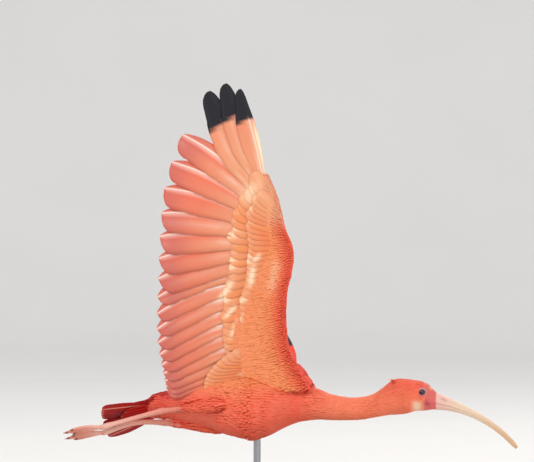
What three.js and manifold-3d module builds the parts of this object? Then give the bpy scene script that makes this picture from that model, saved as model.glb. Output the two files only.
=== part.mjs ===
// A life-size scarlet ibis in banking flight, on a plain display stand.
// Millimetres. +X is the way the bird flies, +Y is its left (lower) wing's side, +Z is up.
// The origin is the centre of the stand's underside.
import * as THREE from "three";
import { mergeVertices } from "three/addons/utils/BufferGeometryUtils.js";
import Module from "manifold-3d";

const wasm = await Module();
wasm.setup();
const { Vector3, MathUtils } = THREE;

// Driving sizes of the whole bird. Its own frame has the line through neck and body as z = 0.
const BIRD_PLACE = { x: -10, y: -15, z: 190 }; // of that frame over the stand
const BANK = MathUtils.degToRad(39); // the body rolls to its left, and the head stays level
const GAP = 0.3; // between touching pieces

// Wing
const SHOULDER = { x: 45, side: 35, up: 15 };
const WING_RISE = MathUtils.degToRad(44); // above the body's own level, at the shoulder
const WING_LIFT = MathUtils.degToRad(28); // that the wing gains by its tip, bent up under load
const LIFT_POWER = 1.8; // most of the bend is in the hand
const WING_SPAN = 417; // from the shoulder to the longest feather's tip
const CAMBER = 13; // how far the rear edge drops
const CAMBER_CHORD = 190;
const FEATHER_TILT = 0.09; // each feather's outer edge rides over the next one out
const FEATHER_THICK = 0.55;
const TIER_STEP = 3; // between the flight feathers and their coverts, and so on

// Tail
const TAIL_ROOT_X = -112;
const TAIL_DROOP = MathUtils.degToRad(19);

// Stand
const BASE = { length: 260, width: 220, thick: 18, corner: 30, bevel: 2 };
const ROD = { radius: 5, x: 10, intoBelly: 30, sides: 20 };

const COLOURS = {
  scarlet: { color: 0xe8502c, roughness: 0.75 },
  wing: { color: 0xf0764a, roughness: 0.7 },
  bill: { color: 0xe6c2a4, roughness: 0.5 },
  leg: { color: 0xe8a090, roughness: 0.6 },
  eye: { color: 0x14100e, roughness: 0.1 },
  base: { color: 0x3a3430, roughness: 0.6 },
  rod: { color: 0x8d9094, roughness: 0.35, metalness: 0.9 },
};

// Solids

// Points and triangles as a solid, turned so that its faces point out.
function closedSolid(points, triangles) {
  const cross = new Vector3();
  let volume = 0;
  for (const [a, b, c] of triangles)
    volume += points[a].dot(cross.crossVectors(points[b], points[c]));
  const outward = volume > 0 ? triangles : triangles.map(([a, b, c]) => [a, c, b]);
  return new wasm.Manifold(
    new wasm.Mesh({
      numProp: 3,
      vertProperties: Float32Array.from(points.flatMap((p) => p.toArray())),
      triVerts: Uint32Array.from(outward.flat()),
    }),
  );
}

// A skin through rings of equally many points, with both ends capped.
// A flat skin has four points a ring, and is split alike on both faces.
function loft(rings, flat = false) {
  const sides = rings[0].length;
  const triangles = [];
  for (let i = 0; i + 1 < rings.length; i++)
    for (let k = 0; k < sides; k++) {
      const a = i * sides + k;
      const b = i * sides + ((k + 1) % sides);
      if (flat && k === 2) triangles.push([a, b, a + sides], [b, b + sides, a + sides]);
      else triangles.push([a, b, b + sides], [a, b + sides, a + sides]);
    }
  const last = (rings.length - 1) * sides;
  for (let k = 1; k + 1 < sides; k++)
    triangles.push([0, k + 1, k], [last, last + k, last + k + 1]);
  return closedSolid(rings.flat(), triangles);
}

// A three.js geometry, placed by a matrix, as a solid.
function solidOf(geometry, matrix = new THREE.Matrix4()) {
  const plain = geometry.clone().applyMatrix4(matrix);
  plain.deleteAttribute("normal");
  plain.deleteAttribute("uv");
  const merged = mergeVertices(plain, 1e-4);
  return new wasm.Manifold(
    new wasm.Mesh({
      numProp: 3,
      vertProperties: Float32Array.from(merged.attributes.position.array),
      triVerts: Uint32Array.from(merged.index.array),
    }),
  );
}

// The pieces as one closed body: scraps and sealed hollows are dropped.
function joined(pieces) {
  const all = wasm.Manifold.union(pieces);
  const bodies = all.decompose();
  return bodies.reduce((best, b) => (b.volume() > best.volume() ? b : best));
}

// Frames

// A point of the banked body (x ahead, y to its left, z to its back) in the bird's level frame.
function onBody(x, y, z, bank = BANK) {
  return new Vector3(
    x,
    y * Math.cos(bank) + z * Math.sin(bank),
    z * Math.cos(bank) - y * Math.sin(bank),
  );
}

// An egg-shaped ring across the body, at x, with its half width and its reach up and down.
function bodyRing({ x, y = 0, z = 0, half, up, down, bank = BANK, grow = 0 }, sides) {
  return Array.from({ length: sides }, (_, k) => {
    const a = (2 * Math.PI * k) / sides;
    const reach = Math.cos(a) > 0 ? up : down;
    return onBody(x, y + (half + grow) * Math.sin(a), z + (reach + grow) * Math.cos(a), bank);
  });
}

// Smooth values between stations: each station is [where, value, value, ...].
function between(stations, where) {
  const last = stations.length - 1;
  let i = stations.findIndex((s, n) => n < last && where <= stations[n + 1][0]);
  if (i < 0) i = last - 1;
  const [p, q] = [stations[i], stations[i + 1]];
  const before = stations[Math.max(0, i - 1)];
  const after = stations[Math.min(last, i + 2)];
  const t = MathUtils.clamp((where - p[0]) / (q[0] - p[0]), 0, 1);
  const [t2, t3] = [t * t, t * t * t];
  return p.slice(1).map((value, k) => {
    const [a, b, c, d] = [before, p, q, after].map((s) => s[k + 1]);
    const span = q[0] - p[0];
    const leave = i > 0 ? ((c - a) / (q[0] - before[0])) * span : c - b;
    const arrive = i + 2 <= last ? ((d - b) / (after[0] - p[0])) * span : c - b;
    return (
      (2 * t3 - 3 * t2 + 1) * value + (t3 - 2 * t2 + t) * leave + (3 * t2 - 2 * t3) * c + (t3 - t2) * arrive
    );
  });
}

// A round tube along a curve, from one share of its length to another. sizes are [share, radius] stations.
function tube(curve, sizes, steps, sides, from = 0, to = 1) {
  const rings = [];
  for (let i = 0; i <= steps; i++) {
    const t = MathUtils.lerp(from, to, i / steps);
    const centre = curve.getPointAt(t);
    const ahead = curve.getTangentAt(t);
    const up = new Vector3().crossVectors(ahead, new Vector3(0, 1, 0)).normalize();
    const across = new Vector3().crossVectors(up, ahead);
    const [radius] = between(sizes, t);
    rings.push(
      Array.from({ length: sides }, (_, k) => {
        const a = (2 * Math.PI * (k + 0.5)) / sides;
        return centre
          .clone()
          .addScaledVector(across, radius * Math.sin(a))
          .addScaledVector(up, radius * Math.cos(a));
      }),
    );
  }
  return loft(rings);
}

// Feathers

// [share of the length, share of the width on the outer side, and on the inner side where it differs]
const LONG_VANE = [
  [0, 0.16],
  [0.3, 0.66],
  [0.62, 1],
  [0.84, 0.76, 1],
  [0.95, 0.42, 0.9],
  [1, 0.12, 0.45],
];
const FINGER_VANE = [
  [0, 0.14],
  [0.22, 0.55],
  [0.44, 1],
  [0.68, 0.95, 0.98],
  [0.81, 0.7, 0.75],
  [0.93, 0.54],
  [1, 0.16],
];
const SHORT_VANE = [
  [0, 0.2],
  [0.45, 0.9],
  [0.86, 0.9],
  [1, 0.3],
];

// A feather as a thin vane from root to tip, each given as [u, v, w] and put in place by a function of those.
// outer is the share of the width on the outer side of the shaft, and bow its bend to that side.
function vane({ root, tip, width, place, outer = 0.42, bow = 0.07, tilt = FEATHER_TILT, shape = LONG_VANE }) {
  const [along, over] = [tip[0] - root[0], tip[1] - root[1]];
  const rings = shape.map(([f, front, rear = front]) => {
    const bend = 4 * f * (1 - f) * bow;
    const turn = 4 * (1 - 2 * f) * bow;
    const u = root[0] + along * f + over * bend;
    const v = root[1] + over * f - along * bend;
    const w = MathUtils.lerp(root[2], tip[2], Math.min(1, f / 0.35));
    const [tu, tv] = [along + over * turn, over - along * turn];
    const length = Math.hypot(tu, tv);
    const point = (off, rise) =>
      place(u + (off * tv) / length, v - (off * tu) / length, w + tilt * off + rise);
    const half = (FEATHER_THICK / 2) * MathUtils.lerp(1.3, 0.9, f);
    const [out, back] = [width * front * outer, -width * rear * (1 - outer)];
    return [point(out, half), point(back, half), point(back, -half), point(out, -half)];
  });
  return loft(rings, true);
}

// Torso

const TORSO_SIDES = 24;
// [x, half width, reach to the back, reach to the belly]
const TORSO = [
  [TAIL_ROOT_X, 25, 14, 25],
  [-98, 28, 19, 26.5],
  [-78, 33, 26, 30],
  [-50, 40, 32, 37],
  [-20, 46, 35, 47],
  [10, 47, 36, 51],
  [30, 42, 34, 44],
  [53, 33.5, 30, 31],
  [70, 27, 27, 25],
  [84, 24, 26, 23],
];

function torsoSolid(grow = 0) {
  const rings = [];
  const [first, last] = [TORSO[0][0], TORSO.at(-1)[0]];
  const steps = 17;
  for (let i = 0; i <= steps; i++) {
    const x = MathUtils.lerp(first, last, i / steps);
    const [half, up, down] = between(TORSO, x);
    rings.push(bodyRing({ x: x + Math.sign(i - steps / 2) * (grow - GAP / 2), half, up, down, grow }, TORSO_SIDES));
  }
  return loft(rings);
}

// Neck and head, which turn level towards the bill

const NECK_SIDES = 20;
// [x, height of the centre, half width, reach up, reach down, share of the bank kept]
const NECK = [
  [84, 0, 24, 26, 23, 1],
  [100, -0.3, 21, 22, 22, 0.85],
  [115, -3.4, 18.5, 19.3, 19.3, 0.7],
  [140, -5.4, 16.5, 17, 17, 0.45],
  [160, -4.2, 16, 16.8, 16.8, 0.3],
  [175, -0.4, 16.5, 17.8, 17.8, 0.15],
  [188, 5.2, 17.8, 21, 21, 0],
  [198, 9.4, 19, 24.2, 23.6, 0],
  [208, 12, 19.6, 25.6, 25.6, 0],
  [220, 12.7, 19.4, 24.6, 24.7, 0],
  [233, 13.6, 17.8, 22, 22, 0],
  [242, 13, 15.8, 20.6, 20.6, 0],
  [251, 11.6, 12.6, 17.6, 18, 0],
  [257, 8.8, 10.2, 14.2, 14.4, 0],
  [260, 7, 9, 12.2, 12.6, 0],
];
const NECK_X = TORSO.at(-1)[0];
const NECK_SPLIT_X = 134;
const HEAD_X = 188;
const FACE_X = NECK.at(-1)[0];

// A length of neck or head. grow makes it larger all round, for cutting room out of a neighbour.
function neckSolid(from, to, steps, grow = 0) {
  const rings = [];
  for (let i = 0; i <= steps; i++) {
    const x = MathUtils.lerp(from, to, i / steps);
    const [z, half, up, down, kept] = between(NECK, x);
    const inset = GAP / 2 - grow;
    const edge = i === 0 ? inset : i === steps ? -inset : 0;
    const ring = bodyRing({ x: x + edge, half, up, down, bank: BANK * kept, grow }, NECK_SIDES);
    rings.push(ring.map((p) => p.setZ(p.z + z)));
  }
  return loft(rings);
}

const EYE = { x: 242.5, z: 19, radius: 5, sunk: 3.4, lid: 4.5, lidThick: 1.1 };

function eyeCentre(side) {
  const [z, half, up] = between(NECK, EYE.x);
  const surface = half * Math.sqrt(1 - ((EYE.z - z) / up) ** 2);
  return new Vector3(EYE.x, side * (surface - EYE.sunk), EYE.z);
}

function ball(centre, radius, around = 12, down = 8) {
  const matrix = new THREE.Matrix4().makeTranslation(centre.x, centre.y, centre.z);
  return solidOf(new THREE.SphereGeometry(radius, around, down), matrix);
}

function lidRing(side) {
  const centre = eyeCentre(side);
  const turn = new THREE.Matrix4().makeRotationX(Math.PI / 2);
  const place = new THREE.Matrix4().makeTranslation(centre.x, centre.y + side * EYE.sunk * 0.72, centre.z);
  return solidOf(new THREE.TorusGeometry(EYE.lid, EYE.lidThick, 5, 14), place.multiply(turn));
}

// Short locks that stand a little off the nape.
const CREST = { locks: 5, x: 208, z: 35.2, spread: 8, length: 12.5, width: 5.5 };

function crest() {
  const place = (u, v, w) => new Vector3(CREST.x + u, v, CREST.z + w);
  return Array.from({ length: CREST.locks }, (_, k) => {
    const off = MathUtils.mapLinear(k, 0, CREST.locks - 1, -1, 1);
    const drop = -3 * off * off;
    return vane({
      root: [0, off * CREST.spread, drop - 1],
      tip: [-CREST.length + 3 * off * off, off * CREST.spread * 1.15, drop + 0.8 + 0.3 * (k % 2)],
      width: CREST.width,
      outer: 0.5,
      bow: 0,
      tilt: 0,
      shape: SHORT_VANE,
      place,
    });
  });
}

// The line of the mouth, cut a little way into the bare face.
const GAPE = { x: 250, z: 3.2, deep: 2.2, high: 1, length: 16 };

function gapeCut(side) {
  const [, half] = between(NECK, 258);
  const box = new THREE.BoxGeometry(GAPE.length, GAPE.deep * 2, GAPE.high);
  const place = new THREE.Matrix4().makeTranslation(
    GAPE.x + GAPE.length / 2,
    side * (half + 0.9),
    GAPE.z,
  );
  return solidOf(box, place.multiply(new THREE.Matrix4().makeRotationZ(-side * 0.42)));
}

// Bill

const BILL = { x: FACE_X + GAP / 2, z: 6.7, length: 132 };
// Its slope down at the face, and what it gains along the bill: evenly, and more and more.
const [BILL_DIP, BILL_CURL, BILL_HOOK] = [13.4, 23.5, 14].map(MathUtils.degToRad);
// [share of the length, half width, half depth]
const BILL_SIZE = [
  [0, 8.6, 12.3],
  [0.1, 7, 9.8],
  [0.25, 5.4, 7.1],
  [0.4, 4.5, 5.4],
  [0.6, 3.6, 4.4],
  [0.8, 3, 3.8],
  [0.95, 2.6, 3.3],
  [1, 1.6, 2.1],
];
const MOUTH_SHARE = 0.28; // how far the mouth line lies under the bill's centre line

// The bill's centre line, added up in short steps from the face.
class BillLine extends THREE.Curve {
  getPoint(t, target = new Vector3()) {
    const steps = 24;
    const step = (t * BILL.length) / steps;
    target.set(BILL.x, 0, BILL.z);
    for (let i = 0; i < steps; i++) {
      const at = (t * (i + 0.5)) / steps;
      const slope = BILL_DIP + BILL_CURL * at + BILL_HOOK * at * at;
      target.x += step * Math.cos(slope);
      target.z -= step * Math.sin(slope);
    }
    return target;
  }
}

const SQUARED = 0.16; // share of the bill over which its sections turn from the face's plane

// One mandible: the part of each bill section that lies above or below the mouth line.
function mandible(upper, steps = 12, sides = 10) {
  const line = new BillLine();
  const rings = [];
  for (let i = 0; i <= steps; i++) {
    const t = i / steps;
    const centre = line.getPoint(t);
    const ahead = line.getTangent(t);
    const up = new Vector3(-ahead.z, 0, ahead.x);
    const [half, deep] = between(BILL_SIZE, t);
    const mouth = -deep * MOUTH_SHARE * (1 - t);
    const lean = Math.max(0, 1 - t / SQUARED);
    const ring = [];
    for (let k = 0; k < sides; k++) {
      const a = Math.PI * (k / (sides - 1));
      const start = Math.asin(MathUtils.clamp(mouth / deep, -1, 1));
      const angle = upper
        ? MathUtils.lerp(start, Math.PI - start, a / Math.PI)
        : MathUtils.lerp(Math.PI - start, 2 * Math.PI + start, a / Math.PI);
      const rise = deep * Math.sin(angle);
      const shift = k === 0 || k === sides - 1 ? (upper ? 1 : -1) * (GAP / 2) : 0;
      const point = centre.clone().addScaledVector(up, rise + shift);
      point.y += half * Math.cos(angle);
      ring.push(point.addScaledVector(ahead, (lean * (centre.x - point.x)) / ahead.x));
    }
    rings.push(ring);
  }
  return loft(rings);
}

const NOSTRIL = { along: 0.085, length: 9, high: 1.3, rise: 0.5 };

function nostrilCut(side) {
  const line = new BillLine();
  const at = line.getPoint(NOSTRIL.along);
  const ahead = line.getTangent(NOSTRIL.along);
  const [half, deep] = between(BILL_SIZE, NOSTRIL.along);
  const slope = Math.atan2(ahead.z, ahead.x);
  const place = new THREE.Matrix4().makeTranslation(
    at.x,
    side * half * 0.93,
    at.z + deep * NOSTRIL.rise,
  );
  place.multiply(new THREE.Matrix4().makeRotationY(-slope));
  place.multiply(new THREE.Matrix4().makeScale(NOSTRIL.length / 2, 1.1, NOSTRIL.high / 2));
  return solidOf(new THREE.SphereGeometry(1, 10, 8), place);
}

// Wings

// The wing's outline in its own plane: u ahead of the shoulder, v out along the span.
// [v, u of the leading edge]
const LEADING_EDGE = [
  [-20, 50],
  [0, 38],
  [20, 27],
  [40, 17.5],
  [62, 13.4],
  [90, 12],
  [125, 14],
  [150, 20],
  [172, 23],
  [190, 21],
  [212, 12],
  [255, 1],
  [290, -14],
];
// [v, length of the fleshy part, its half thickness]
const FLESH = [
  [-20, 104, 15],
  [10, 98, 12],
  [40, 88, 9.5],
  [100, 77, 7.6],
  [160, 66, 6.6],
  [200, 50, 5.6],
  [250, 34, 4.8],
  [290, 18, 2.4],
];
const ROOT_SHARE = 0.55; // where a flight feather's root sits in the flesh, from the leading edge

// The height of the wing's middle surface over its flat plane.
function camber(u, v) {
  const [edge] = between(LEADING_EDGE, MathUtils.clamp(v, -20, 290));
  const back = Math.max(0, (edge - u) / CAMBER_CHORD);
  return -CAMBER * back * back;
}

// How steeply the wing rises at v along its span.
function wingSlope(v) {
  return WING_RISE + WING_LIFT * Math.max(0, v / WING_SPAN) ** LIFT_POWER;
}

// A wing point in the bird's frame: w is its height over the wing's middle surface. side is -1 on the right.
function onWing(side, u, v, w) {
  const steps = 10;
  let out = SHOULDER.side;
  let up = SHOULDER.up;
  for (let i = 0; i < steps; i++) {
    const slope = wingSlope((v * (i + 0.5)) / steps);
    out += (v / steps) * Math.cos(slope);
    up += (v / steps) * Math.sin(slope);
  }
  const height = w + camber(u, v);
  const slope = wingSlope(v);
  return onBody(
    SHOULDER.x + u,
    side * (out - height * Math.sin(slope)),
    up + height * Math.cos(slope),
  );
}

// The fleshy part of a wing between two places on its span.
function wingFlesh(side, from, to, steps, sides = 12) {
  const rings = [];
  for (let i = 0; i <= steps; i++) {
    const v = MathUtils.lerp(from, to, i / steps);
    const [edge] = between(LEADING_EDGE, v);
    const [chord, half] = between(FLESH, v);
    rings.push(
      Array.from({ length: sides }, (_, k) => {
        const a = (2 * Math.PI * k) / sides;
        const back = (1 - Math.cos(a)) / 2;
        const bulge = 2.6 * Math.sqrt(back) * (1 - back) * (1 - 0.18 * back) + 0.1 * back;
        const thick = k === 0 ? 0 : Math.sign(Math.sin(a) || 1) * Math.max(bulge * half, 0.8);
        return onWing(side, edge - chord * back, v, thick);
      }),
    );
  }
  return loft(rings);
}

// The rear edge of the wing: where the tips of the feathers lie, as [v, u].
const REAR_EDGE = [
  [-12, -158],
  [60, -170],
  [140, -168],
  [210, -165],
  [280, -158],
  [344, -137],
];
const TERTIALS = 2;
const SECONDARIES = 8;
const PRIMARIES = 10;
const FIRST_PRIMARY = TERTIALS + SECONDARIES;
// The three longest primaries end in separate fingers: tip, width and share of it before the shaft.
const FINGERS = [
  { tip: [-103, 408], width: 43, outer: 0.3 },
  { tip: [-80, 420], width: 37, outer: 0.3 },
  { tip: [-59, 412], width: 27, outer: 0.26 },
];
const FINGER_BOW = 0.015;

// Where flight feather k is rooted along the span, counted outwards from the innermost tertial.
function rootSpan(k) {
  if (k < TERTIALS) return 14 + 8 * k;
  if (k < FIRST_PRIMARY) return MathUtils.mapLinear(k, TERTIALS, FIRST_PRIMARY - 1, 30, 154);
  return MathUtils.mapLinear(k, FIRST_PRIMARY, FIRST_PRIMARY + PRIMARIES - 1, 167, 262);
}

// Where its tip lies, in the wing's plane.
function tipPoint(k) {
  const finger = k - (FIRST_PRIMARY + PRIMARIES - FINGERS.length);
  if (finger >= 0) return FINGERS[finger].tip;
  const v = -12 + 4.41 * k + 1.115 * k * k;
  return [between(REAR_EDGE, v)[0], v];
}

function flightFeather(side, k) {
  const v = rootSpan(k);
  const [edge] = between(LEADING_EDGE, v);
  const [chord] = between(FLESH, v);
  const finger = FINGERS[k - (FIRST_PRIMARY + PRIMARIES - FINGERS.length)];
  const primary = k >= FIRST_PRIMARY;
  return {
    root: [edge - ROOT_SHARE * chord, v, 0],
    tip: [...tipPoint(k), 0],
    width: finger?.width ?? (primary ? 41 : 34),
    outer: finger?.outer ?? (primary ? 0.28 : 0.4),
    bow: finger ? FINGER_BOW : primary ? 0.08 : 0.07,
    shape: finger ? FINGER_VANE : LONG_VANE,
    place: (...at) => onWing(side, ...at),
  };
}

// Each tier of coverts, counted from the flight feathers: which feathers it follows, where in the flesh
// it is rooted, and its length and width as shares of theirs.
const COVERT_TIERS = [
  { from: 2, to: 17, every: 1, root: 0.42, length: 0.42, width: 0.8 },
  { from: 3, to: 11, every: 2, root: 0.24, length: 0.3, width: 1 },
];

function coverts(side, face) {
  return COVERT_TIERS.flatMap((tier, n) => {
    const found = [];
    for (let k = tier.from; k <= tier.to; k += tier.every) {
      const flight = flightFeather(side, k);
      const v = flight.root[1];
      const [edge] = between(LEADING_EDGE, v);
      const [chord, thick] = between(FLESH, v);
      const root = [edge - tier.root * chord, v];
      const reach = [0, 1].map((i) => root[i] + tier.length * (flight.tip[i] - flight.root[i]));
      found.push(
        vane({
          ...flight,
          root: [...root, face * Math.min((n + 1) * TIER_STEP, thick * 0.6)],
          tip: [...reach, face * (n + 1) * TIER_STEP],
          width: Math.min(flight.width, 34) * tier.width,
          outer: 0.45,
          shape: SHORT_VANE,
        }),
      );
    }
    return found;
  });
}

// Long loose feathers between wing and body: over the shoulder on the back, and in the wing pit below.
const BODY_FEATHERS = [
  { root: [2, 16], tip: [-102, 0] },
  { root: [-12, 24], tip: [-116, 16] },
  { root: [-26, 32], tip: [-110, 34] },
];

function bodyFeathers(side, face) {
  return BODY_FEATHERS.map(({ root, tip }) =>
    vane({
      root: [...root, face * 6],
      tip: [...tip, face * (2.6 * TIER_STEP)],
      width: 25,
      bow: 0.03,
      shape: SHORT_VANE,
      place: (...at) => onWing(side, ...at),
    }),
  );
}

// The thumb's feathers lie along the leading edge of the hand.
const ALULA = [
  { root: [8, 166], tip: [0, 224], width: 12 },
  { root: [11, 164], tip: [5, 211], width: 11 },
];

function alula(side) {
  return ALULA.map(({ root, tip, width }, i) =>
    vane({
      root: [...root, 3.2],
      tip: [...tip, 5.4 + i],
      width,
      bow: 0.05,
      shape: SHORT_VANE,
      place: (...at) => onWing(side, ...at),
    }),
  );
}

const WING_START = -14;
const FLESH_END = 288;

function wingSolid(side) {
  const flight = Array.from({ length: FIRST_PRIMARY + PRIMARIES }, (_, k) => vane(flightFeather(side, k)));
  return joined([
    wingFlesh(side, WING_START, FLESH_END, 12),
    ...flight,
    ...coverts(side, 1),
    ...coverts(side, -1),
    ...bodyFeathers(side, 1),
    ...bodyFeathers(side, -1),
    ...alula(side),
  ]);
}

// Tail

// A tail point in the bird's frame: u ahead of the tail's root, v to the bird's left, w to its back.
function onTail(u, v, w) {
  const slope = TAIL_DROOP * MathUtils.smoothstep(-u, -5, 40);
  return onBody(TAIL_ROOT_X + u * Math.cos(slope * 0.9), v, u * Math.sin(slope) + w);
}

const TAIL_FLESH = [
  [0, 25, 14, 25],
  [14, 25, 11, 20],
  [28, 22, 8, 13],
  [42, 18, 4.5, 6.5],
  [50, 14, 1.6, 1.8],
];
const TAIL_PAIRS = 6;
const TAIL_LENGTH = 98;
const TAIL_STEP = 0.9; // each tail feather lies this far under the next one in

function tailFlesh(sides = 18) {
  const rings = TAIL_FLESH.map(([back, half, up, down], i) =>
    Array.from({ length: sides }, (_, k) => {
      const a = (2 * Math.PI * k) / sides;
      const reach = Math.cos(a) > 0 ? up : down;
      return onTail(-back - (i ? 0 : GAP / 2), half * Math.sin(a), reach * Math.cos(a));
    }),
  );
  return loft(rings);
}

// One side's tail feathers, from the middle pair out.
function tailFeathers(side) {
  return Array.from({ length: TAIL_PAIRS }, (_, k) => {
    const level = (side < 0 ? 0.5 : -0.5) * TAIL_STEP - k * TAIL_STEP;
    return vane({
      root: [-22 + 0.8 * k, side * (2 + 2.2 * k), level],
      tip: [-TAIL_LENGTH + 0.16 * k * k, side * (7 + 5 * k), level],
      width: k ? 20 : 18,
      outer: 0.5,
      bow: 0,
      tilt: 0,
      place: onTail,
    });
  });
}

// The coverts over and under the tail.
const TAIL_COVERTS = [
  { across: 4, root: [-8, 7, 8.5], tip: [-62, 17, 4], width: 17 },
  { across: 4, root: [-6, 9, -14], tip: [-74, 15, -9], width: 18 },
];

function tailCoverts({ across, root, tip, width }) {
  return Array.from({ length: across }, (_, k) => {
    const off = MathUtils.mapLinear(k, 0, across - 1, -1, 1);
    const shorter = 10 * off * off;
    const drop = -Math.sign(root[2]) * (2.5 * off * off - 0.4 * k);
    return vane({
      root: [root[0], off * root[1], root[2] + drop],
      tip: [tip[0] + shorter, off * tip[1], tip[2] + drop],
      width,
      outer: 0.5,
      bow: 0,
      tilt: 0,
      shape: SHORT_VANE,
      place: onTail,
    });
  });
}

function tailSolid() {
  return joined([
    tailFlesh(),
    ...tailFeathers(-1),
    ...tailFeathers(1),
    ...TAIL_COVERTS.flatMap(tailCoverts),
  ]);
}

// Legs, trailed under the tail

// From the knee inside the flank, past the bare ankle, to the foot: [x, out from the middle, below the axis].
const RIGHT_LEG = [
  [-22, 33, 24],
  [-60, 29, 26],
  [-96, 23, 26.5],
  [-121, 19.5, 28],
  [-160, 13.5, 36],
  [-201, 8.5, 47],
];
// The left leg is held nearer to the middle, so that it trails beside the right one.
const LEFT_LEG = [
  [-22, 27, 22],
  [-60, 20, 25],
  [-96, 12, 29.5],
  [-121, 6, 28.8],
  [-160, 1.5, 33.5],
  [-201, 6, 46],
];
const THIGH_SHARE = 0.4; // of the leg's length that is feathered
// [share of the leg, radius]
const LEG_SIZE = [
  [0, 8],
  [0.07, 13],
  [0.2, 12.5],
  [0.32, 8],
  [0.4, 5],
  [0.44, 4],
  [0.5, 3.8],
  [0.54, 4.8],
  [0.6, 3.8],
  [0.75, 3.4],
  [0.92, 3.5],
  [0.97, 4.2],
  [1, 3.9],
];
const TOE_END = [-258, 7, 56];
// [spread to the side at the tip, share of the middle toe's length, radius]
const TOES = [
  [-4.5, 0.84, 2.3],
  [0, 1, 2.4],
  [4.5, 0.8, 2.3],
];
const KNUCKLE = { length: 6, radius: 3.7 };
const TOE_SHAPE = [
  [0, 1],
  [0.8, 0.95],
  [0.93, 0.55],
  [1, 0.2],
];

function legPoint([x, out, below], side) {
  return onBody(x, side * out, -below);
}

function legLine(side) {
  const stations = side < 0 ? RIGHT_LEG : LEFT_LEG;
  return new THREE.CatmullRomCurve3(stations.map((point) => legPoint(point, side)));
}

function thighSolid(side) {
  return tube(legLine(side), LEG_SIZE, 8, 12, 0, THIGH_SHARE);
}

function shankSolid(side) {
  const line = legLine(side);
  return tube(line, LEG_SIZE, 14, 8, THIGH_SHARE + GAP / line.getLength(), 1);
}

function footSolid(side) {
  const line = legLine(side);
  const ahead = line.getTangentAt(1);
  const start = line.getPointAt(1).addScaledVector(ahead, GAP);
  const end = legPoint(TOE_END, side);
  const left = onBody(0, 1, 0).sub(onBody(0, 0, 0));
  const below = onBody(0, 0, -1).sub(onBody(0, 0, 0));
  const knuckleEnd = start.clone().addScaledVector(ahead, KNUCKLE.length);
  const knuckle = tube(new THREE.LineCurve3(start, knuckleEnd), [[0, KNUCKLE.radius], [1, 3]], 2, 8);
  const toes = TOES.map(([spread, share, radius]) => {
    const tip = start.clone().lerp(end, share).addScaledVector(left, spread).addScaledVector(below, 2);
    const middle = start.clone().lerp(tip, 0.5).addScaledVector(left, spread * 0.4);
    const root = start.clone().addScaledVector(ahead, 1.5);
    const toe = new THREE.CatmullRomCurve3([root, middle.addScaledVector(below, -1.5), tip]);
    return tube(toe, TOE_SHAPE.map(([t, r]) => [t, r * radius]), 6, 6);
  });
  return joined([knuckle, ...toes]);
}

// Stand

function baseSolid() {
  const { length, width, thick, corner, bevel } = BASE;
  const [l, w] = [length / 2 - bevel, width / 2 - bevel];
  const outline = new THREE.Shape();
  outline.absarc(l - corner, -w + corner, corner, -Math.PI / 2, 0);
  outline.absarc(l - corner, w - corner, corner, 0, Math.PI / 2);
  outline.absarc(-l + corner, w - corner, corner, Math.PI / 2, Math.PI);
  outline.absarc(-l + corner, -w + corner, corner, Math.PI, 1.5 * Math.PI);
  const geometry = new THREE.ExtrudeGeometry(outline, {
    depth: thick - 2 * bevel,
    bevelThickness: bevel,
    bevelSize: bevel,
    bevelSegments: 1,
    curveSegments: 5,
  });
  return solidOf(geometry, new THREE.Matrix4().makeTranslation(0, 0, bevel));
}

// The rod, in the bird's frame. grow makes it larger all round, for cutting its hole.
function rodSolid(grow = 0) {
  const bottom = BASE.thick + GAP - BIRD_PLACE.z;
  const top = -ROD.intoBelly + grow;
  const radius = ROD.radius + grow;
  const upright = new THREE.Matrix4().makeRotationX(Math.PI / 2);
  const place = new THREE.Matrix4().makeTranslation(ROD.x, 0, (bottom + top) / 2);
  const geometry = new THREE.CylinderGeometry(radius, radius, top - bottom, ROD.sides);
  return solidOf(geometry, place.multiply(upright));
}

// Scene graph

const ibis = new THREE.Group();
const bird = new THREE.Group();
bird.position.set(BIRD_PLACE.x, BIRD_PLACE.y, BIRD_PLACE.z);
ibis.add(bird);

// Adds a solid to a group as a named mesh.
function addNode(group, name, solid, look) {
  const mesh = solid.getMesh();
  const geometry = new THREE.BufferGeometry();
  geometry.setAttribute("position", new THREE.BufferAttribute(Float32Array.from(mesh.vertProperties), 3));
  geometry.setIndex(new THREE.BufferAttribute(mesh.triVerts, 1));
  geometry.computeVertexNormals();
  const node = new THREE.Mesh(geometry, new THREE.MeshStandardMaterial(COLOURS[look]));
  node.name = name;
  group.add(node);
}

const trunkGrown = torsoSolid(GAP).add(neckSolid(NECK_X, NECK_SPLIT_X, 7, GAP));
addNode(bird, "torso", torsoSolid().subtract(rodSolid(GAP)), "scarlet");
addNode(bird, "neck_lower", neckSolid(NECK_X, NECK_SPLIT_X, 7), "scarlet");
addNode(bird, "neck_upper", neckSolid(NECK_SPLIT_X, HEAD_X, 7), "scarlet");

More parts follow.
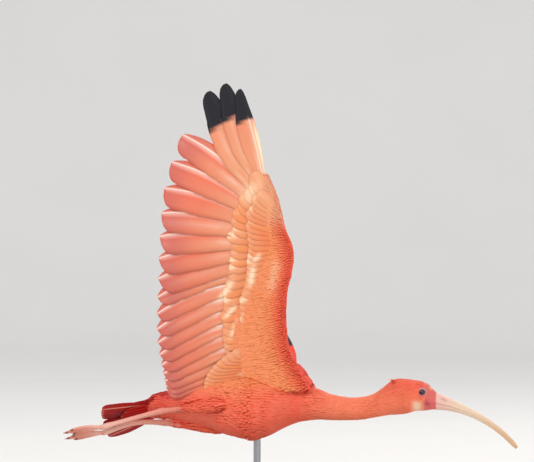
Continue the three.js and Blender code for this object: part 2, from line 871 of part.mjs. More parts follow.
const sides = { right: -1, left: 1 };
let head = joined([neckSolid(HEAD_X, FACE_X, 16), ...Object.values(sides).map(lidRing), ...crest()]);
let billUpper = mandible(true);
for (const [name, side] of Object.entries(sides)) {
  head = head.subtract(ball(eyeCentre(side), EYE.radius + GAP)).subtract(gapeCut(side));
  billUpper = billUpper.subtract(nostrilCut(side));
  addNode(bird, `eye_${name}`, ball(eyeCentre(side), EYE.radius), "eye");
  addNode(bird, `wing_${name}`, joined([wingSolid(side).subtract(trunkGrown)]), "wing");
  addNode(bird, `thigh_${name}`, joined([thighSolid(side).subtract(trunkGrown)]), "scarlet");
  addNode(bird, `shank_${name}`, shankSolid(side), "leg");
  addNode(bird, `foot_${name}`, footSolid(side), "leg");
}
addNode(bird, "head", head, "scarlet");
addNode(bird, "bill_upper", billUpper, "bill");
addNode(bird, "bill_lower", mandible(false), "bill");
addNode(bird, "tail", tailSolid(), "scarlet");
addNode(bird, "stand_rod", rodSolid(), "rod");
addNode(ibis, "stand_base", baseSolid(), "base");

export default ibis;
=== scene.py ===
# %% [markdown]
# # A scarlet ibis in banking flight
# The model is a life-size bird on a rod and a flat base, as a museum shows one. The solid parts come
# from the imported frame, and this lesson dresses them: one skin, a coat of small feathers, the large
# feathers of wings and tail, a horny bill, scaly legs, wet eyes and a wooden base.

# %% Load the frame
import math
from functools import partial

import bmesh
import bpy
import numpy as np
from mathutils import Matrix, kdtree


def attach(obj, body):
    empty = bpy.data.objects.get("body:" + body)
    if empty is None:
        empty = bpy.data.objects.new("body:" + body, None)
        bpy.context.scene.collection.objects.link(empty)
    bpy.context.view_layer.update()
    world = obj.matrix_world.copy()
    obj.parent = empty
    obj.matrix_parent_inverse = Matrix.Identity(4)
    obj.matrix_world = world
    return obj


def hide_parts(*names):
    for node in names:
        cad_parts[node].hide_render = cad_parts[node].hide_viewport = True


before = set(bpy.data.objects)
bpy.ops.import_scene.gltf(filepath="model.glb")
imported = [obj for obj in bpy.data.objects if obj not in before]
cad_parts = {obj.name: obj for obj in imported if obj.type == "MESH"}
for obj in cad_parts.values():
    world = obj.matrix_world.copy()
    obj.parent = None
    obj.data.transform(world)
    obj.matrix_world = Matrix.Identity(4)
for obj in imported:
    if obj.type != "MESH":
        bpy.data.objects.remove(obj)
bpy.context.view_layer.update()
MM = 0.001
BODY = "root"
print("nodes in the frame:", len(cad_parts))

# %% [markdown]
# The bird has its own frame, which lies over the stand. The body is banked in it and the head stays
# level. The same few stations that shape the solids shape the skin, so the two always agree. A smooth
# curve through stations could be a Blender curve object, but a formula can be asked for many points
# at once, and it serves the body, the neck, the bill and the feathers alike.

# %% Measures of the bird, in millimetres
BIRD_PLACE = np.array([-10.0, -15.0, 190.0])
BANK = math.radians(39)
# x, half width, reach up, reach down
TORSO_STATIONS = [
    (-112, 25, 14, 25), (-98, 28, 19, 26.5), (-78, 33, 26, 30), (-50, 40, 32, 37), (-20, 46, 35, 47),
    (10, 47, 36, 51), (30, 42, 34, 44), (53, 33.5, 30, 31), (70, 27, 27, 25), (84, 24, 26, 23),
]
# x, height of the centre, half width, reach up, reach down, share of the bank kept
NECK_STATIONS = [
    (84, 0, 24, 26, 23, 1), (100, -0.3, 21, 22, 22, 0.85), (115, -3.4, 18.5, 19.3, 19.3, 0.7),
    (140, -5.4, 16.5, 17, 17, 0.45), (160, -4.2, 16, 16.8, 16.8, 0.3), (175, -0.4, 16.5, 17.8, 17.8, 0.15),
    (188, 5.2, 17.8, 21, 21, 0), (198, 9.4, 19, 24.2, 23.6, 0), (208, 12, 19.6, 25.6, 25.6, 0),
    (220, 12.7, 19.4, 24.6, 24.7, 0), (233, 13.6, 17.8, 22, 22, 0), (242, 13, 15.8, 20.6, 20.6, 0),
    (251, 11.6, 12.6, 17.6, 18, 0), (257, 8.8, 10.2, 14.2, 14.4, 0), (260, 7, 9, 12.2, 12.6, 0),
]
RUMP_X, NECK_X, HEAD_X, FACE_X = -112, 84, 188, 260
print("from rump to face:", FACE_X - RUMP_X, "mm")

# %% [markdown]
# Two helpers turn stations into places. One runs a smooth curve through them, and the other banks a point
# of the body and moves it to where the bird hangs over its stand.

# %% Smooth curves through stations, and points of the banked body
def between(stations, where):
    """Smooth values between stations, each given as (where, value, value, ...)."""
    table = np.asarray(stations, float)
    x, y = table[:, 0], table[:, 1:]
    slope = np.empty_like(y)
    slope[1:-1] = (y[2:] - y[:-2]) / (x[2:] - x[:-2])[:, None]
    slope[0] = (y[1] - y[0]) / (x[1] - x[0])
    slope[-1] = (y[-1] - y[-2]) / (x[-1] - x[-2])
    at = np.clip(np.asarray(where, float), x[0], x[-1])
    i = np.clip(np.searchsorted(x, at, side="left") - 1, 0, len(x) - 2)
    span = (x[i + 1] - x[i])[..., None]
    t = ((at - x[i]) / (x[i + 1] - x[i]))[..., None]
    curve = (2 * t**3 - 3 * t**2 + 1) * y[i] + (t**3 - 2 * t**2 + t) * span * slope[i]
    curve += (3 * t**2 - 2 * t**3) * y[i + 1] + (t**3 - t**2) * span * slope[i + 1]
    return np.moveaxis(curve, -1, 0)


def on_body(x, y, z, bank=BANK):
    """A point of the banked body, as a place in the part's frame, in metres."""
    x, y, z = np.broadcast_arrays(np.asarray(x, float), y, z)
    turned = np.stack([x, y * np.cos(bank) + z * np.sin(bank), z * np.cos(bank) - y * np.sin(bank)], -1)
    return (turned + BIRD_PLACE) * MM


print("middle of the torso in the frame:", np.round(on_body(0, 0, 0), 3))

# %% [markdown]
# A wing is an arm and a hand that carry a fan of feathers. Its middle surface rises from the shoulder,
# bends up along the span and hollows towards the rear. A lattice could bend a flat wing into that form,
# but one function puts skin and feathers alike on the surface, so that they stay together.

# %% Measures of a wing
SHOULDER = (45, 35, 15)  # ahead, out to the side, up
WING_RISE, WING_LIFT, LIFT_POWER, WING_SPAN = math.radians(44), math.radians(28), 1.8, 417
CAMBER, CAMBER_CHORD = 13, 190
# v out along the span, u ahead of the shoulder
LEADING_EDGE = [
    (-20, 50), (0, 38), (20, 27), (40, 17.5), (62, 13.4), (90, 12), (125, 14), (150, 20), (172, 23),
    (190, 21), (212, 12), (255, 1), (290, -14),
]
# v, chord, half thickness
WING_FLESH = [
    (-20, 104, 15), (10, 98, 12), (40, 88, 9.5), (100, 77, 7.6), (160, 66, 6.6), (200, 50, 5.6),
    (250, 34, 4.8), (290, 18, 2.4),
]
# v, u of the flight feathers' tips
REAR_EDGE = [(-12, -158), (60, -170), (140, -168), (210, -165), (280, -158), (344, -137)]
SPAN_START, SPAN_END = -60.0, 461.0

span_steps = np.arange(SPAN_START, SPAN_END, 1.0)
span_slope = WING_RISE + WING_LIFT * np.maximum(0, span_steps / WING_SPAN) ** LIFT_POWER


def run_from_shoulder(rate):
    """Adds up a rate along the span, from nothing at the shoulder."""
    total = np.concatenate([[0], np.cumsum((rate[1:] + rate[:-1]) / 2)])
    return total - np.interp(0, span_steps, total)


span_out = run_from_shoulder(np.cos(span_slope))
span_up = run_from_shoulder(np.sin(span_slope))


def on_wing(side, u, v, w):
    """A wing point: u ahead of the shoulder, v out along the span, w over the wing's middle surface."""
    u, v, w = np.broadcast_arrays(np.asarray(u, float), v, w)
    (edge,) = between(LEADING_EDGE, v)
    height = w - CAMBER * (np.maximum(0, edge - u) / CAMBER_CHORD) ** 2
    slope = np.interp(v, span_steps, span_slope)
    out = SHOULDER[1] + np.interp(v, span_steps, span_out) - height * np.sin(slope)
    up = SHOULDER[2] + np.interp(v, span_steps, span_up) + height * np.cos(slope)
    return on_body(SHOULDER[0] + u, side * out, up)


wing_tip = on_wing(-1, -80, 423, 0)

# %% [markdown]
# The tail bends down a little behind the rump, so it has a surface of its own, made in the same way.

# %% The tail's surface
TAIL_DROOP = math.radians(19)
TAIL_BEND_START, TAIL_BEND_LENGTH, DROOP_SHARE = 5, 45, 0.9


def on_tail(u, v, w):
    """A tail point: u ahead of the tail's root, v to the left, w to the back."""
    u = np.asarray(u, float)
    t = np.clip((TAIL_BEND_START - u) / TAIL_BEND_LENGTH, 0, 1)
    slope = TAIL_DROOP * t * t * (3 - 2 * t)
    return on_body(RUMP_X + u * np.cos(slope * DROOP_SHARE), v, u * np.sin(slope) + w)


print("tail's end in the frame:", np.round(on_tail(-98, 0, 0), 3))

# %% [markdown]
# A bird's colours shift smoothly over its body, so each point of the coat gets its own tint, kept in
# the mesh as a colour attribute. Painting an image would need a texture file, and one material for
# each region would show seams. Colours are written as the eye sees them and turned to linear light.

# %% Colours
def paint(red, green, blue):
    """A colour as the eye sees it, from 0 to 255, in linear light."""
    share = np.array([red, green, blue]) / 255
    return np.where(share <= 0.04045, share / 12.92, ((share + 0.055) / 1.055) ** 2.4)


SCARLET = paint(230, 58, 32)
BREAST = paint(236, 88, 56)
BELLY = paint(236, 88, 58)
WARM_ORANGE = paint(234, 136, 76)
RUMP = paint(198, 30, 24)
NECK = paint(236, 112, 72)
CROWN = paint(234, 92, 60)
CHEEK = paint(238, 196, 166)
FACE = paint(214, 102, 94)
FACE_DEEP = paint(158, 52, 78)
LEAD_RED = paint(234, 84, 50)
CORAL = paint(222, 114, 88)
PEACH = paint(228, 160, 120)
ROSE = paint(186, 92, 92)
PALE_PINK = paint(246, 210, 196)
CREAM = paint(252, 226, 192)
TAIL_RED = paint(150, 14, 20)
BLUE_BLACK = paint(24, 25, 33)
SHAFT_LIGHT = paint(255, 226, 206)
FOREHEAD = paint(240, 208, 130)
EYE_RING = paint(168, 146, 154)
print("scarlet in linear light:", np.round(SCARLET, 3))

# %% [markdown]
# Tints are mixed by shares that rise and fall softly, for many points at once. The same two helpers paint
# the skin, the feathers, the bill and the legs.

# %% Mixing tints
def mix(a, b, share):
    """Colour a turning into colour b."""
    share = np.clip(np.asarray(share, float), 0, 1)[..., None]
    return a * (1 - share) + b * share


def smooth_step(value, low, high):
    """0 below low, 1 above high, and an even rise between."""
    t = np.clip((np.asarray(value, float) - low) / (high - low), 0, 1)
    return t * t * (3 - 2 * t)


print("halfway from scarlet to cream:", np.round(mix(SCARLET, CREAM, 0.5), 3))

# %% [markdown]
# The living bird isn't one red. Its flanks are warm orange, the breast and the neck are paler, and the rump
# is deep. Each region is a soft bell or step along the body or round it, laid over the last.

# %% Tints of body and head
def body_tint(x, round_angle):
    """The tint at x along the body, at an angle from the back (0) to the belly (pi)."""
    low = smooth_step(np.cos(round_angle), 0.3, -0.9)
    tint = mix(SCARLET, BREAST, low)
    flank = np.exp(-((np.abs(round_angle) - 1.35) / 0.62) ** 2) * np.exp(-((x + 8) / 62) ** 2)
    tint = mix(tint, WARM_ORANGE, 0.9 * flank)
    tint = mix(tint, LEAD_RED, 0.6 * np.exp(-((x - 78) / 22) ** 2))
    tint = mix(tint, BELLY, smooth_step(x, -20, -90) * low)
    tint = mix(tint, RUMP, smooth_step(x, -70, RUMP_X) * (1 - 0.7 * low))
    return mix(tint, NECK, smooth_step(x, 70, 130))


def head_tint(x, z):
    """The tint of the head, by the height over the neck's line."""
    return mix(NECK, CROWN, smooth_step(z, 8, 28) * smooth_step(x, 180, 205))


print("tint of the belly:", np.round(body_tint(-60.0, math.pi), 3))

# %% [markdown]
# Under the wing, cream marks show where pale feather bases come through, with a painted highlight where they
# catch the light. Each is a soft oval in the wing's plane, listed one by one, and it is laid over the
# feathers of the arm, the coverts and the flight feathers.

# %% Tints under the wing
# the marks are pale feather bases with a painted highlight where the light catches them
# u and v of the middle, half length, half width, turn in degrees, strength
PALE_BASES_AND_HIGHLIGHTS = [
    (-40, 262, 15, 9, 70, 0.55), (-30, 172, 7, 3, 40, 0.9), (-37, 147, 15, 4, 80, 0.85),
    (0, 148, 22, 4, 80, 0.4), (-74, 126, 17, 4, 55, 0.85), (-68, 97, 12, 3, 45, 0.85),
    (-61, 76, 18, 3.5, 65, 0.8), (-48, 11, 11, 1.3, 2, 0.7),
]


def pale_bases_and_highlights(tint, u, v):
    """The tint with the cream marks laid over it: pale feather bases with a painted highlight on them."""
    for place_u, place_v, long, wide, turn, strength in PALE_BASES_AND_HIGHLIGHTS:
        c, s = math.cos(math.radians(turn)), math.sin(math.radians(turn))
        along, aside = (u - place_u) * c + (v - place_v) * s, (v - place_v) * c - (u - place_u) * s
        tint = mix(tint, CREAM, strength * np.exp(-(along / long) ** 4 - (aside / wide) ** 2))
    return tint


def wing_tint(u_back, v, under):
    """The tint of the arm's small feathers: u_back is how far behind the leading edge."""
    top = mix(SCARLET, BREAST, smooth_step(u_back, 10, 60))
    low = mix(LEAD_RED, WARM_ORANGE, 0.9 * smooth_step(u_back, 3, 22))
    low = mix(low, PEACH, np.maximum(0.6 * smooth_step(v, 185, 240) * smooth_step(u_back, 8, 20),
                                     0.9 * smooth_step(v, 200, 235)))
    low = pale_bases_and_highlights(low, between(LEADING_EDGE, v)[0] - u_back, v)
    return np.where(under[..., None], low, top)


print("cream marks:", len(PALE_BASES_AND_HIGHLIGHTS))

# %% [markdown]
# Materials are built from nodes. A few short helpers make a node, link a value or a colour to it and mix
# two colours, so that each material below reads as a list of what the finish is made of. Nodes can be laid
# by hand in the shader editor too, but a script can repeat them.

# %% Material helpers
def new_material(name, roughness, **sockets):
    """A material with its shader's constant values set on the shader itself."""
    material = bpy.data.materials.new(name)
    material.use_nodes = True
    shader = material.node_tree.nodes["Principled BSDF"]
    shader.inputs["Roughness"].default_value = roughness
    for socket, value in sockets.items():
        shader.inputs[socket.replace("_", " ")].default_value = value
    return material, material.node_tree, shader


def add_node(tree, kind, **settings):
    """A node with its settings, where inputs are given by name or place as in_NAME."""
    node = tree.nodes.new(kind)
    for key, value in settings.items():
        if key.startswith("in_"):
            slot = key[3:].replace("_", " ")
            node.inputs[int(slot) if slot.isdigit() else slot].default_value = value
        else:
            setattr(node, key, value)
    return node


def maths(tree, operation, a, b=None):
    """A maths node on two links or numbers."""
    node = add_node(tree, "ShaderNodeMath", operation=operation)
    for slot, value in enumerate((a, b)):
        if value is None:
            continue
        if isinstance(value, (int, float)):
            node.inputs[slot].default_value = value
        else:
            tree.links.new(value, node.inputs[slot])
    return node.outputs[0]


def mixed(tree, share, a, b, blend="MIX"):
    """Two colours mixed by a share, each a link or a colour."""
    node = add_node(tree, "ShaderNodeMix", data_type="RGBA", blend_type=blend)
    for slot, value in ((0, share), (6, a), (7, b)):
        if hasattr(value, "is_linked"):
            tree.links.new(value, node.inputs[slot])
        elif slot == 0:
            node.inputs[slot].default_value = value
        else:
            node.inputs[slot].default_value = (*value, 1)
    return node.outputs[2]


def noise(tree, scale, detail=3, vector=None):
    """Noise on the object's own coordinates."""
    node = add_node(tree, "ShaderNodeTexNoise", in_Scale=scale, in_Detail=detail)
    if vector is None:
        vector = add_node(tree, "ShaderNodeTexCoord").outputs["Object"]
    tree.links.new(vector, node.inputs["Vector"])
    return node.outputs[0]


def mesh_tint(tree):
    """The tint that the mesh keeps at each point."""
    return add_node(tree, "ShaderNodeAttribute", attribute_name="tint").outputs["Color"]


def vane_place(tree):
    """The place on the map named vane, in centimetres across and along."""
    return add_node(tree, "ShaderNodeUVMap", uv_map="vane").outputs[0]


def stretched(tree, vector, scale, **settings):
    """A vector scaled by a Mapping node, to draw a pattern out one way."""
    node = add_node(tree, "ShaderNodeMapping", in_Scale=scale, **settings)
    tree.links.new(vector, node.inputs[0])
    return node.outputs[0]


def bump(tree, shader, height, distance, strength):
    """Fine relief on a shader, its depth in metres."""
    node = add_node(tree, "ShaderNodeBump", in_Distance=distance, in_Strength=strength)
    tree.links.new(height, node.inputs["Height"])
    tree.links.new(node.outputs[0], shader.inputs["Normal"])


print("a middle grey in linear light:", np.round(paint(128, 128, 128), 3))

# %% [markdown]
# A feather's vane is not one colour: fine barbs run out from the shaft at a slant, so the material draws
# them as stripes on the vane's own map, where x runs across the shaft and y along it. A picture could hold
# them, but nodes need no file and stay sharp. Small and large feathers share the nodes and differ in scale.

# %% The feathers' material
BARB_SLANT, BARB_WOBBLE, SHAFT_SHARPNESS = 1.1, 0.05, 7.0


def feather_material(name, stripe, depth, roughness, shaft):
    """Tinted vanes with slanting barbs and a pale shaft. stripe is the barbs' count to the centimetre."""
    material, tree, shader = new_material(name, roughness, Specular_IOR_Level=0.25, Subsurface_Weight=0.06,
                                          Subsurface_Scale=0.003)
    tint, vane = mesh_tint(tree), vane_place(tree)
    parts = add_node(tree, "ShaderNodeSeparateXYZ")
    tree.links.new(vane, parts.inputs[0])
    across = maths(tree, "ABSOLUTE", parts.outputs[0])
    slant = maths(tree, "SUBTRACT", parts.outputs[1], maths(tree, "MULTIPLY", across, BARB_SLANT))
    wobble = maths(tree, "MULTIPLY", noise(tree, 900), BARB_WOBBLE)
    turns = maths(tree, "MULTIPLY", maths(tree, "ADD", slant, wobble), stripe * 2 * math.pi)
    barbs = maths(tree, "MULTIPLY", maths(tree, "ADD", maths(tree, "SINE", turns), 1.0), 0.5)
    broad = noise(tree, 160, 4)
    darker = mixed(tree, 0.6, tint, tint, "MULTIPLY")
    colour = mixed(tree, maths(tree, "MULTIPLY", barbs, 0.22), tint, darker)
    colour = mixed(tree, maths(tree, "MULTIPLY", broad, 0.2), colour, darker)
    from_shaft = maths(tree, "MINIMUM", maths(tree, "MULTIPLY", across, SHAFT_SHARPNESS), 1.0)
    on_shaft = maths(tree, "SUBTRACT", 1.0, from_shaft)
    channels = add_node(tree, "ShaderNodeSeparateColor")
    tree.links.new(tint, channels.inputs[0])
    on_shaft = maths(tree, "MULTIPLY", on_shaft, channels.outputs[0])
    pale = mixed(tree, 0.85, tint, SHAFT_LIGHT, "SCREEN")
    colour = mixed(tree, maths(tree, "MULTIPLY", on_shaft, shaft), colour, pale)
    tree.links.new(colour, shader.inputs["Base Color"])
    bump(tree, shader, barbs, depth, 0.5)
    return material


plumage = feather_material("plumage", stripe=9, depth=0.00006, roughness=0.65, shaft=0.15)
vanes = feather_material("large_vanes", stripe=7, depth=0.0002, roughness=0.5, shaft=0.85)
print("feather materials:", plumage.name, vanes.name)

# %% [markdown]
# The bare face is thin skin with wrinkles that lets a little light in, and the bill is horn with faint
# streaks along it. Both read their tint from the mesh, and a bump gives relief too fine for the mesh.

# %% Skin and bill materials
HORN_DARK = paint(150, 96, 70)


def skin_material():
    """Bare skin under and between the feathers, with fine wrinkles."""
    material, tree, shader = new_material("skin", 0.55, Subsurface_Weight=0.08, Subsurface_Scale=0.002)
    tint = mesh_tint(tree)
    wrinkles = noise(tree, 900, 5)
    deep = mixed(tree, 0.7, tint, tint, "MULTIPLY")
    colour = mixed(tree, maths(tree, "MULTIPLY", wrinkles, 0.45), tint, deep)
    tree.links.new(colour, shader.inputs["Base Color"])
    bump(tree, shader, wrinkles, 0.0004, 0.5)
    return material


def horn_material():
    """The bill: pinkish at the face, tan at the tip, with faint streaks along it."""
    material, tree, shader = new_material("bill_horn", 0.42, Coat_Weight=0.15, Coat_Roughness=0.3,
                                          Subsurface_Weight=0.1, Subsurface_Scale=0.002)
    tint = mesh_tint(tree)
    streaks = noise(tree, 3, 5, stretched(tree, vane_place(tree), (14, 0.7, 1)))
    blotches = noise(tree, 120, 4)
    deep = mixed(tree, 0.55, tint, HORN_DARK)
    colour = mixed(tree, maths(tree, "MULTIPLY", streaks, 0.35), tint, deep)
    colour = mixed(tree, maths(tree, "MULTIPLY", blotches, 0.25), colour, deep)
    tree.links.new(colour, shader.inputs["Base Color"])
    bump(tree, shader, streaks, 0.0003, 0.5)
    return material


skin_finish, horn = skin_material(), horn_material()
print("skin and horn:", skin_finish.name, horn.name)

# %% [markdown]
# Legs and toes carry rows of small plates. A Voronoi texture gives its distance to the nearest edge, which
# makes raised plates with dark seams, in stretched cells. The eye is wet: hardly any roughness, and a thin
# clear coat over an iris with flecks.

# %% Leg and eye materials
def leg_material():
    """Scaly skin of the legs and feet: rows of small plates."""
    material, tree, shader = new_material("leg_scales", 0.5, Coat_Weight=0.1, Coat_Roughness=0.35)
    tint = mesh_tint(tree)
    rows = stretched(tree, vane_place(tree), (3.2, 4.4, 1))
    plates = add_node(tree, "ShaderNodeTexVoronoi", feature="DISTANCE_TO_EDGE", in_Scale=1.0,
                      in_Randomness=0.35)
    tree.links.new(rows, plates.inputs["Vector"])
    raised = maths(tree, "MINIMUM", maths(tree, "MULTIPLY", plates.outputs[0], 6.0), 1.0)
    deep = mixed(tree, 0.8, tint, tint, "MULTIPLY")
    colour = mixed(tree, raised, deep, tint)
    colour = mixed(tree, maths(tree, "MULTIPLY", noise(tree, 250), 0.3), colour, deep)
    tree.links.new(colour, shader.inputs["Base Color"])
    bump(tree, shader, raised, 0.0004, 0.7)
    return material


def eye_material():
    """A wet eye, whose iris and pupil are told apart by a tint in the mesh."""
    material, tree, shader = new_material("eye_wet", 0.08, Coat_Weight=0.3, Coat_Roughness=0.03)
    tint = mesh_tint(tree)
    flecks = noise(tree, 1500, 2)
    deep = mixed(tree, 0.5, tint, (0, 0, 0))
    colour = mixed(tree, maths(tree, "MULTIPLY", flecks, 0.6), tint, deep)
    tree.links.new(colour, shader.inputs["Base Color"])
    return material


scales, wet_eye = leg_material(), eye_material()
print("materials so far:", len(bpy.data.materials))

# %% [markdown]
# The stand's finishes are made by people: wood, whose rings are bands bent by noise and whose pores are long
# and thin, and steel, brushed in fine lines round the rod. Both read Object coordinates, so the pattern
# runs through the piece as it does in a real board.

# %% Materials of the stand
WOOD_DARK, WOOD_LIGHT, WOOD_PORE = paint(58, 36, 24), paint(92, 58, 36), paint(34, 20, 14)
STEEL_DARK, STEEL_LIGHT = paint(120, 122, 126), paint(176, 178, 182)


def wood_material():
    """Dark stained wood: rings stretched along the board, with pores."""
    material, tree, shader = new_material("stained_wood", 0.38, Coat_Weight=0.25, Coat_Roughness=0.25)
    place = add_node(tree, "ShaderNodeTexCoord").outputs["Object"]
    along = stretched(tree, place, (1.2, 14, 9), in_Rotation=(0.06, 0.03, 0.05))
    rings = add_node(tree, "ShaderNodeTexWave", wave_type="BANDS", bands_direction="Y", in_Scale=1.6,
                     in_Distortion=5.0, in_Detail=3.0)
    tree.links.new(along, rings.inputs[0])
    pores = noise(tree, 1.0, 4, stretched(tree, place, (20, 700, 700)))
    colour = mixed(tree, rings.outputs[1], WOOD_DARK, WOOD_LIGHT)
    colour = mixed(tree, maths(tree, "MULTIPLY", pores, 0.55), colour, WOOD_PORE)
    tree.links.new(colour, shader.inputs["Base Color"])
    bump(tree, shader, pores, 0.0002, 0.4)
    return material


def metal_material():
    """Brushed steel: fine lines round the rod."""
    material, tree, shader = new_material("brushed_metal", 0.32, Metallic=1.0)
    place = add_node(tree, "ShaderNodeTexCoord").outputs["Object"]
    brushed = noise(tree, 1.0, 3, stretched(tree, place, (60, 60, 3000)))
    tree.links.new(mixed(tree, brushed, STEEL_DARK, STEEL_LIGHT), shader.inputs["Base Color"])
    bump(tree, shader, brushed, 0.00005, 0.4)
    return material


stained_wood, brushed_metal = wood_material(), metal_material()
print("materials in all:", len(bpy.data.materials))

# %% [markdown]
# Every piece is made from arrays of points, faces, map places and tints. One helper turns them into
# a mesh object at the origin. The map named vane carries the pattern, and the map named OFBake gives
# each feather a small patch of its own on an unwrap of the surface that it grows from.

# %% Mesh helpers
PATCH = 0.003  # side of one small feather's patch on the bake map
rng = np.random.default_rng(20)


def new_object(name, data):
    """An object for some data, linked to the scene."""
    made = bpy.data.objects.new(name, data)
    bpy.context.scene.collection.objects.link(made)
    return made


def read_all(collection, field, width, kind=float):
    """One field of all points, corners or faces, in rows of the given width."""
    values = np.empty(len(collection) * width, kind)
    collection.foreach_get(field, values)
    return values.reshape(-1, width) if width > 1 else values


def make_piece(name, points, faces, material, vane_map=None, tints=None, bake=None):
    """A mesh object from arrays. vane_map, tints and bake are given point by point."""
    mesh = bpy.data.meshes.new(name)
    mesh.from_pydata(np.asarray(points).tolist(), [], [list(map(int, face)) for face in faces])
    corner_point = read_all(mesh.loops, "vertex_index", 1, int)
    for map_name, values in (("vane", vane_map), ("OFBake", bake)):
        if values is not None:
            layer = mesh.uv_layers.new(name=map_name)
            layer.data.foreach_set("uv", np.asarray(values, np.float32)[corner_point].ravel())
    if tints is not None:
        layer = mesh.attributes.new("tint", "FLOAT_COLOR", "POINT")
        full = np.concatenate([tints, np.ones((len(tints), 1))], 1)
        layer.data.foreach_set("color", full.astype(np.float32).ravel())
    mesh.polygons.foreach_set("use_smooth", [True] * len(mesh.polygons))
    mesh.materials.append(material)
    mesh.update()
    return new_object(name, mesh)


def tube_faces(rings, sides, start=0):
    """Quads between rings of points, with one face closing each end."""
    index = start + np.arange(rings * sides).reshape(rings, sides)
    nxt = np.roll(index, -1, axis=1)
    quads = np.stack([index[:-1], nxt[:-1], nxt[1:], index[1:]], -1).reshape(-1, 4).tolist()
    return quads + [index[0][::-1].tolist(), index[-1].tolist()]


def joined(tubes):
    """Points and faces of several closed tubes, each an array of rings by sides."""
    faces, count = [], 0
    for tube in tubes:
        rings, sides = tube.shape[:2]
        faces += tube_faces(rings, sides, count)
        count += rings * sides
    return in_rows(tubes), faces


def in_rows(arrays):
    """Arrays given by ring and side, as one list of rows."""
    return np.concatenate([array.reshape(-1, array.shape[-1]) for array in arrays])


def turned_out(piece):
    """Gives a closed mesh faces that point out."""
    bpy.context.view_layer.objects.active = piece
    bpy.ops.object.select_all(action="DESELECT")
    piece.select_set(True)
    bpy.ops.object.mode_set(mode="EDIT")
    bpy.ops.mesh.select_all(action="SELECT")
    bpy.ops.mesh.normals_make_consistent(inside=False)
    bpy.ops.object.mode_set(mode="OBJECT")
    return piece


print("mesh helpers ready, a coat patch is", PATCH, "across")

# %% [markdown]
# Lofts and tubes are rings of points along a line, so they share a few sums: steps round a circle, the run
# of a path, and a place on the bake map.

# %% Helpers for rings and paths
def unit(vectors):
    """Vectors brought to length one."""
    return vectors / np.linalg.norm(vectors, axis=-1, keepdims=True)


def round_steps(sides):
    """Even steps once round."""
    return np.linspace(0, 2 * np.pi, sides, endpoint=False)


def signed_turn(angle):
    """Angles from 0 to 2 pi, as -pi to pi."""
    return np.where(angle > np.pi, angle - 2 * np.pi, angle)


def run_along(path):
    """How far each point of a path is from its start."""
    return np.concatenate([[0], np.cumsum(np.linalg.norm(np.diff(path, axis=0), axis=1))])


MAP_SHARE, MAP_MARGIN = 0.94, 0.03  # how much of the bake map is used, and where that starts


def on_map(share):
    """A share of the bake map's width, inside its margins."""
    return share * MAP_SHARE + MAP_MARGIN


def ring_points(half, up, down, sides):
    """An egg-shaped ring, as sideways and upward distances for each ring."""
    angle = round_steps(sides)
    reach = np.where(np.cos(angle) > 0, up[:, None], down[:, None])
    return half[:, None] * np.sin(angle), reach * np.cos(angle), np.broadcast_to(angle, reach.shape)


print("steps once round by 8:", np.round(round_steps(8), 2))

# %% [markdown]
# The skin is one surface from the bill's root to the tail and out along both arms. It could be
# sculpted, but lofts through the same stations as the solids are exact. The lofts are melted into
# one body by a voxel remesh, which also rounds the hollows between wing and flank. Each loft keeps
# what it knows at every point: tint, the way feathers lie, their length, and its place on a flat map.

# %% Regions of the skin, and the loft of torso, neck and head
REGION = {"torso": 0, "neck": 1, "head": 2, "arm_right": 3, "arm_left": 4, "tail": 5, "thigh": 6, "none": 9}
COAT_DEPTH = 1.3  # how far the skin lies inside the solids, to leave room for the coat
BODY_ON_MAP = 380  # millimetres of the body's length that the bake map takes
TAIL_MAP_START = 170


def body_loft():
    """Torso, neck and head in one run of rings."""
    sides = 72
    torso_x = np.linspace(RUMP_X, NECK_X, 80)[:-1]
    half, up, down = between(TORSO_STATIONS, torso_x)
    neck_x = np.concatenate([np.linspace(NECK_X, FACE_X, 110), [FACE_X + 1.2, FACE_X + 2.6]])
    height, neck_half, neck_up, neck_down, kept = between(NECK_STATIONS, neck_x)
    x = np.concatenate([torso_x, neck_x])
    inset = np.interp(x, [RUMP_X, NECK_X, HEAD_X, 232, 245], [COAT_DEPTH, COAT_DEPTH, 0.9, 0.6, 0.0])
    half = np.concatenate([half, neck_half]) - inset
    up = np.concatenate([up, neck_up]) - inset
    down = np.concatenate([down, neck_down]) - inset
    into_bill = np.interp(x, [FACE_X, FACE_X + 2.6], [1, 0.82])
    half, up, down = half * into_bill, up * into_bill, down * into_bill
    height = np.concatenate([np.zeros(len(torso_x)), height])
    bank = BANK * np.concatenate([np.ones(len(torso_x)), kept])
    y, z, angle = ring_points(half, up, down, sides)
    points = on_body(x[:, None], y, z, bank[:, None]) + np.array([0, 0, 1]) * height[:, None, None] * MM
    x = np.broadcast_to(x[:, None], angle.shape)
    tint = body_tint(x, signed_turn(angle))
    level = (points[..., 2] / MM) - BIRD_PLACE[2]
    tint = np.where((x > 150)[..., None], mix(tint, head_tint(x, level), smooth_step(x, 150, 190)), tint)
    length = np.interp(x, [RUMP_X, -60, 0, 60, NECK_X, 120, HEAD_X, 215, 240],
                       [19, 17, 15, 13, 11.5, 9, 6.5, 4.5, 3])
    lie = np.broadcast_to([-1.0, 0, 0], points.shape)
    flat = np.stack([on_map((x - RUMP_X) / BODY_ON_MAP), on_map(angle / (2 * np.pi))], -1)
    behind_head = np.where(x < 90, REGION["torso"], REGION["neck"])
    return points, tint, lie, length, flat, np.where(x < HEAD_X, behind_head, REGION["head"])


lofts = [body_loft()]
print("torso, neck and head:", lofts[0][0].shape[:2], "rings and sides")

# %% [markdown]
# The arm of a wing is flat and thick in front, so its section is a teardrop. Near the body its feathers
# point straight back, and towards the hand they sweep outwards.

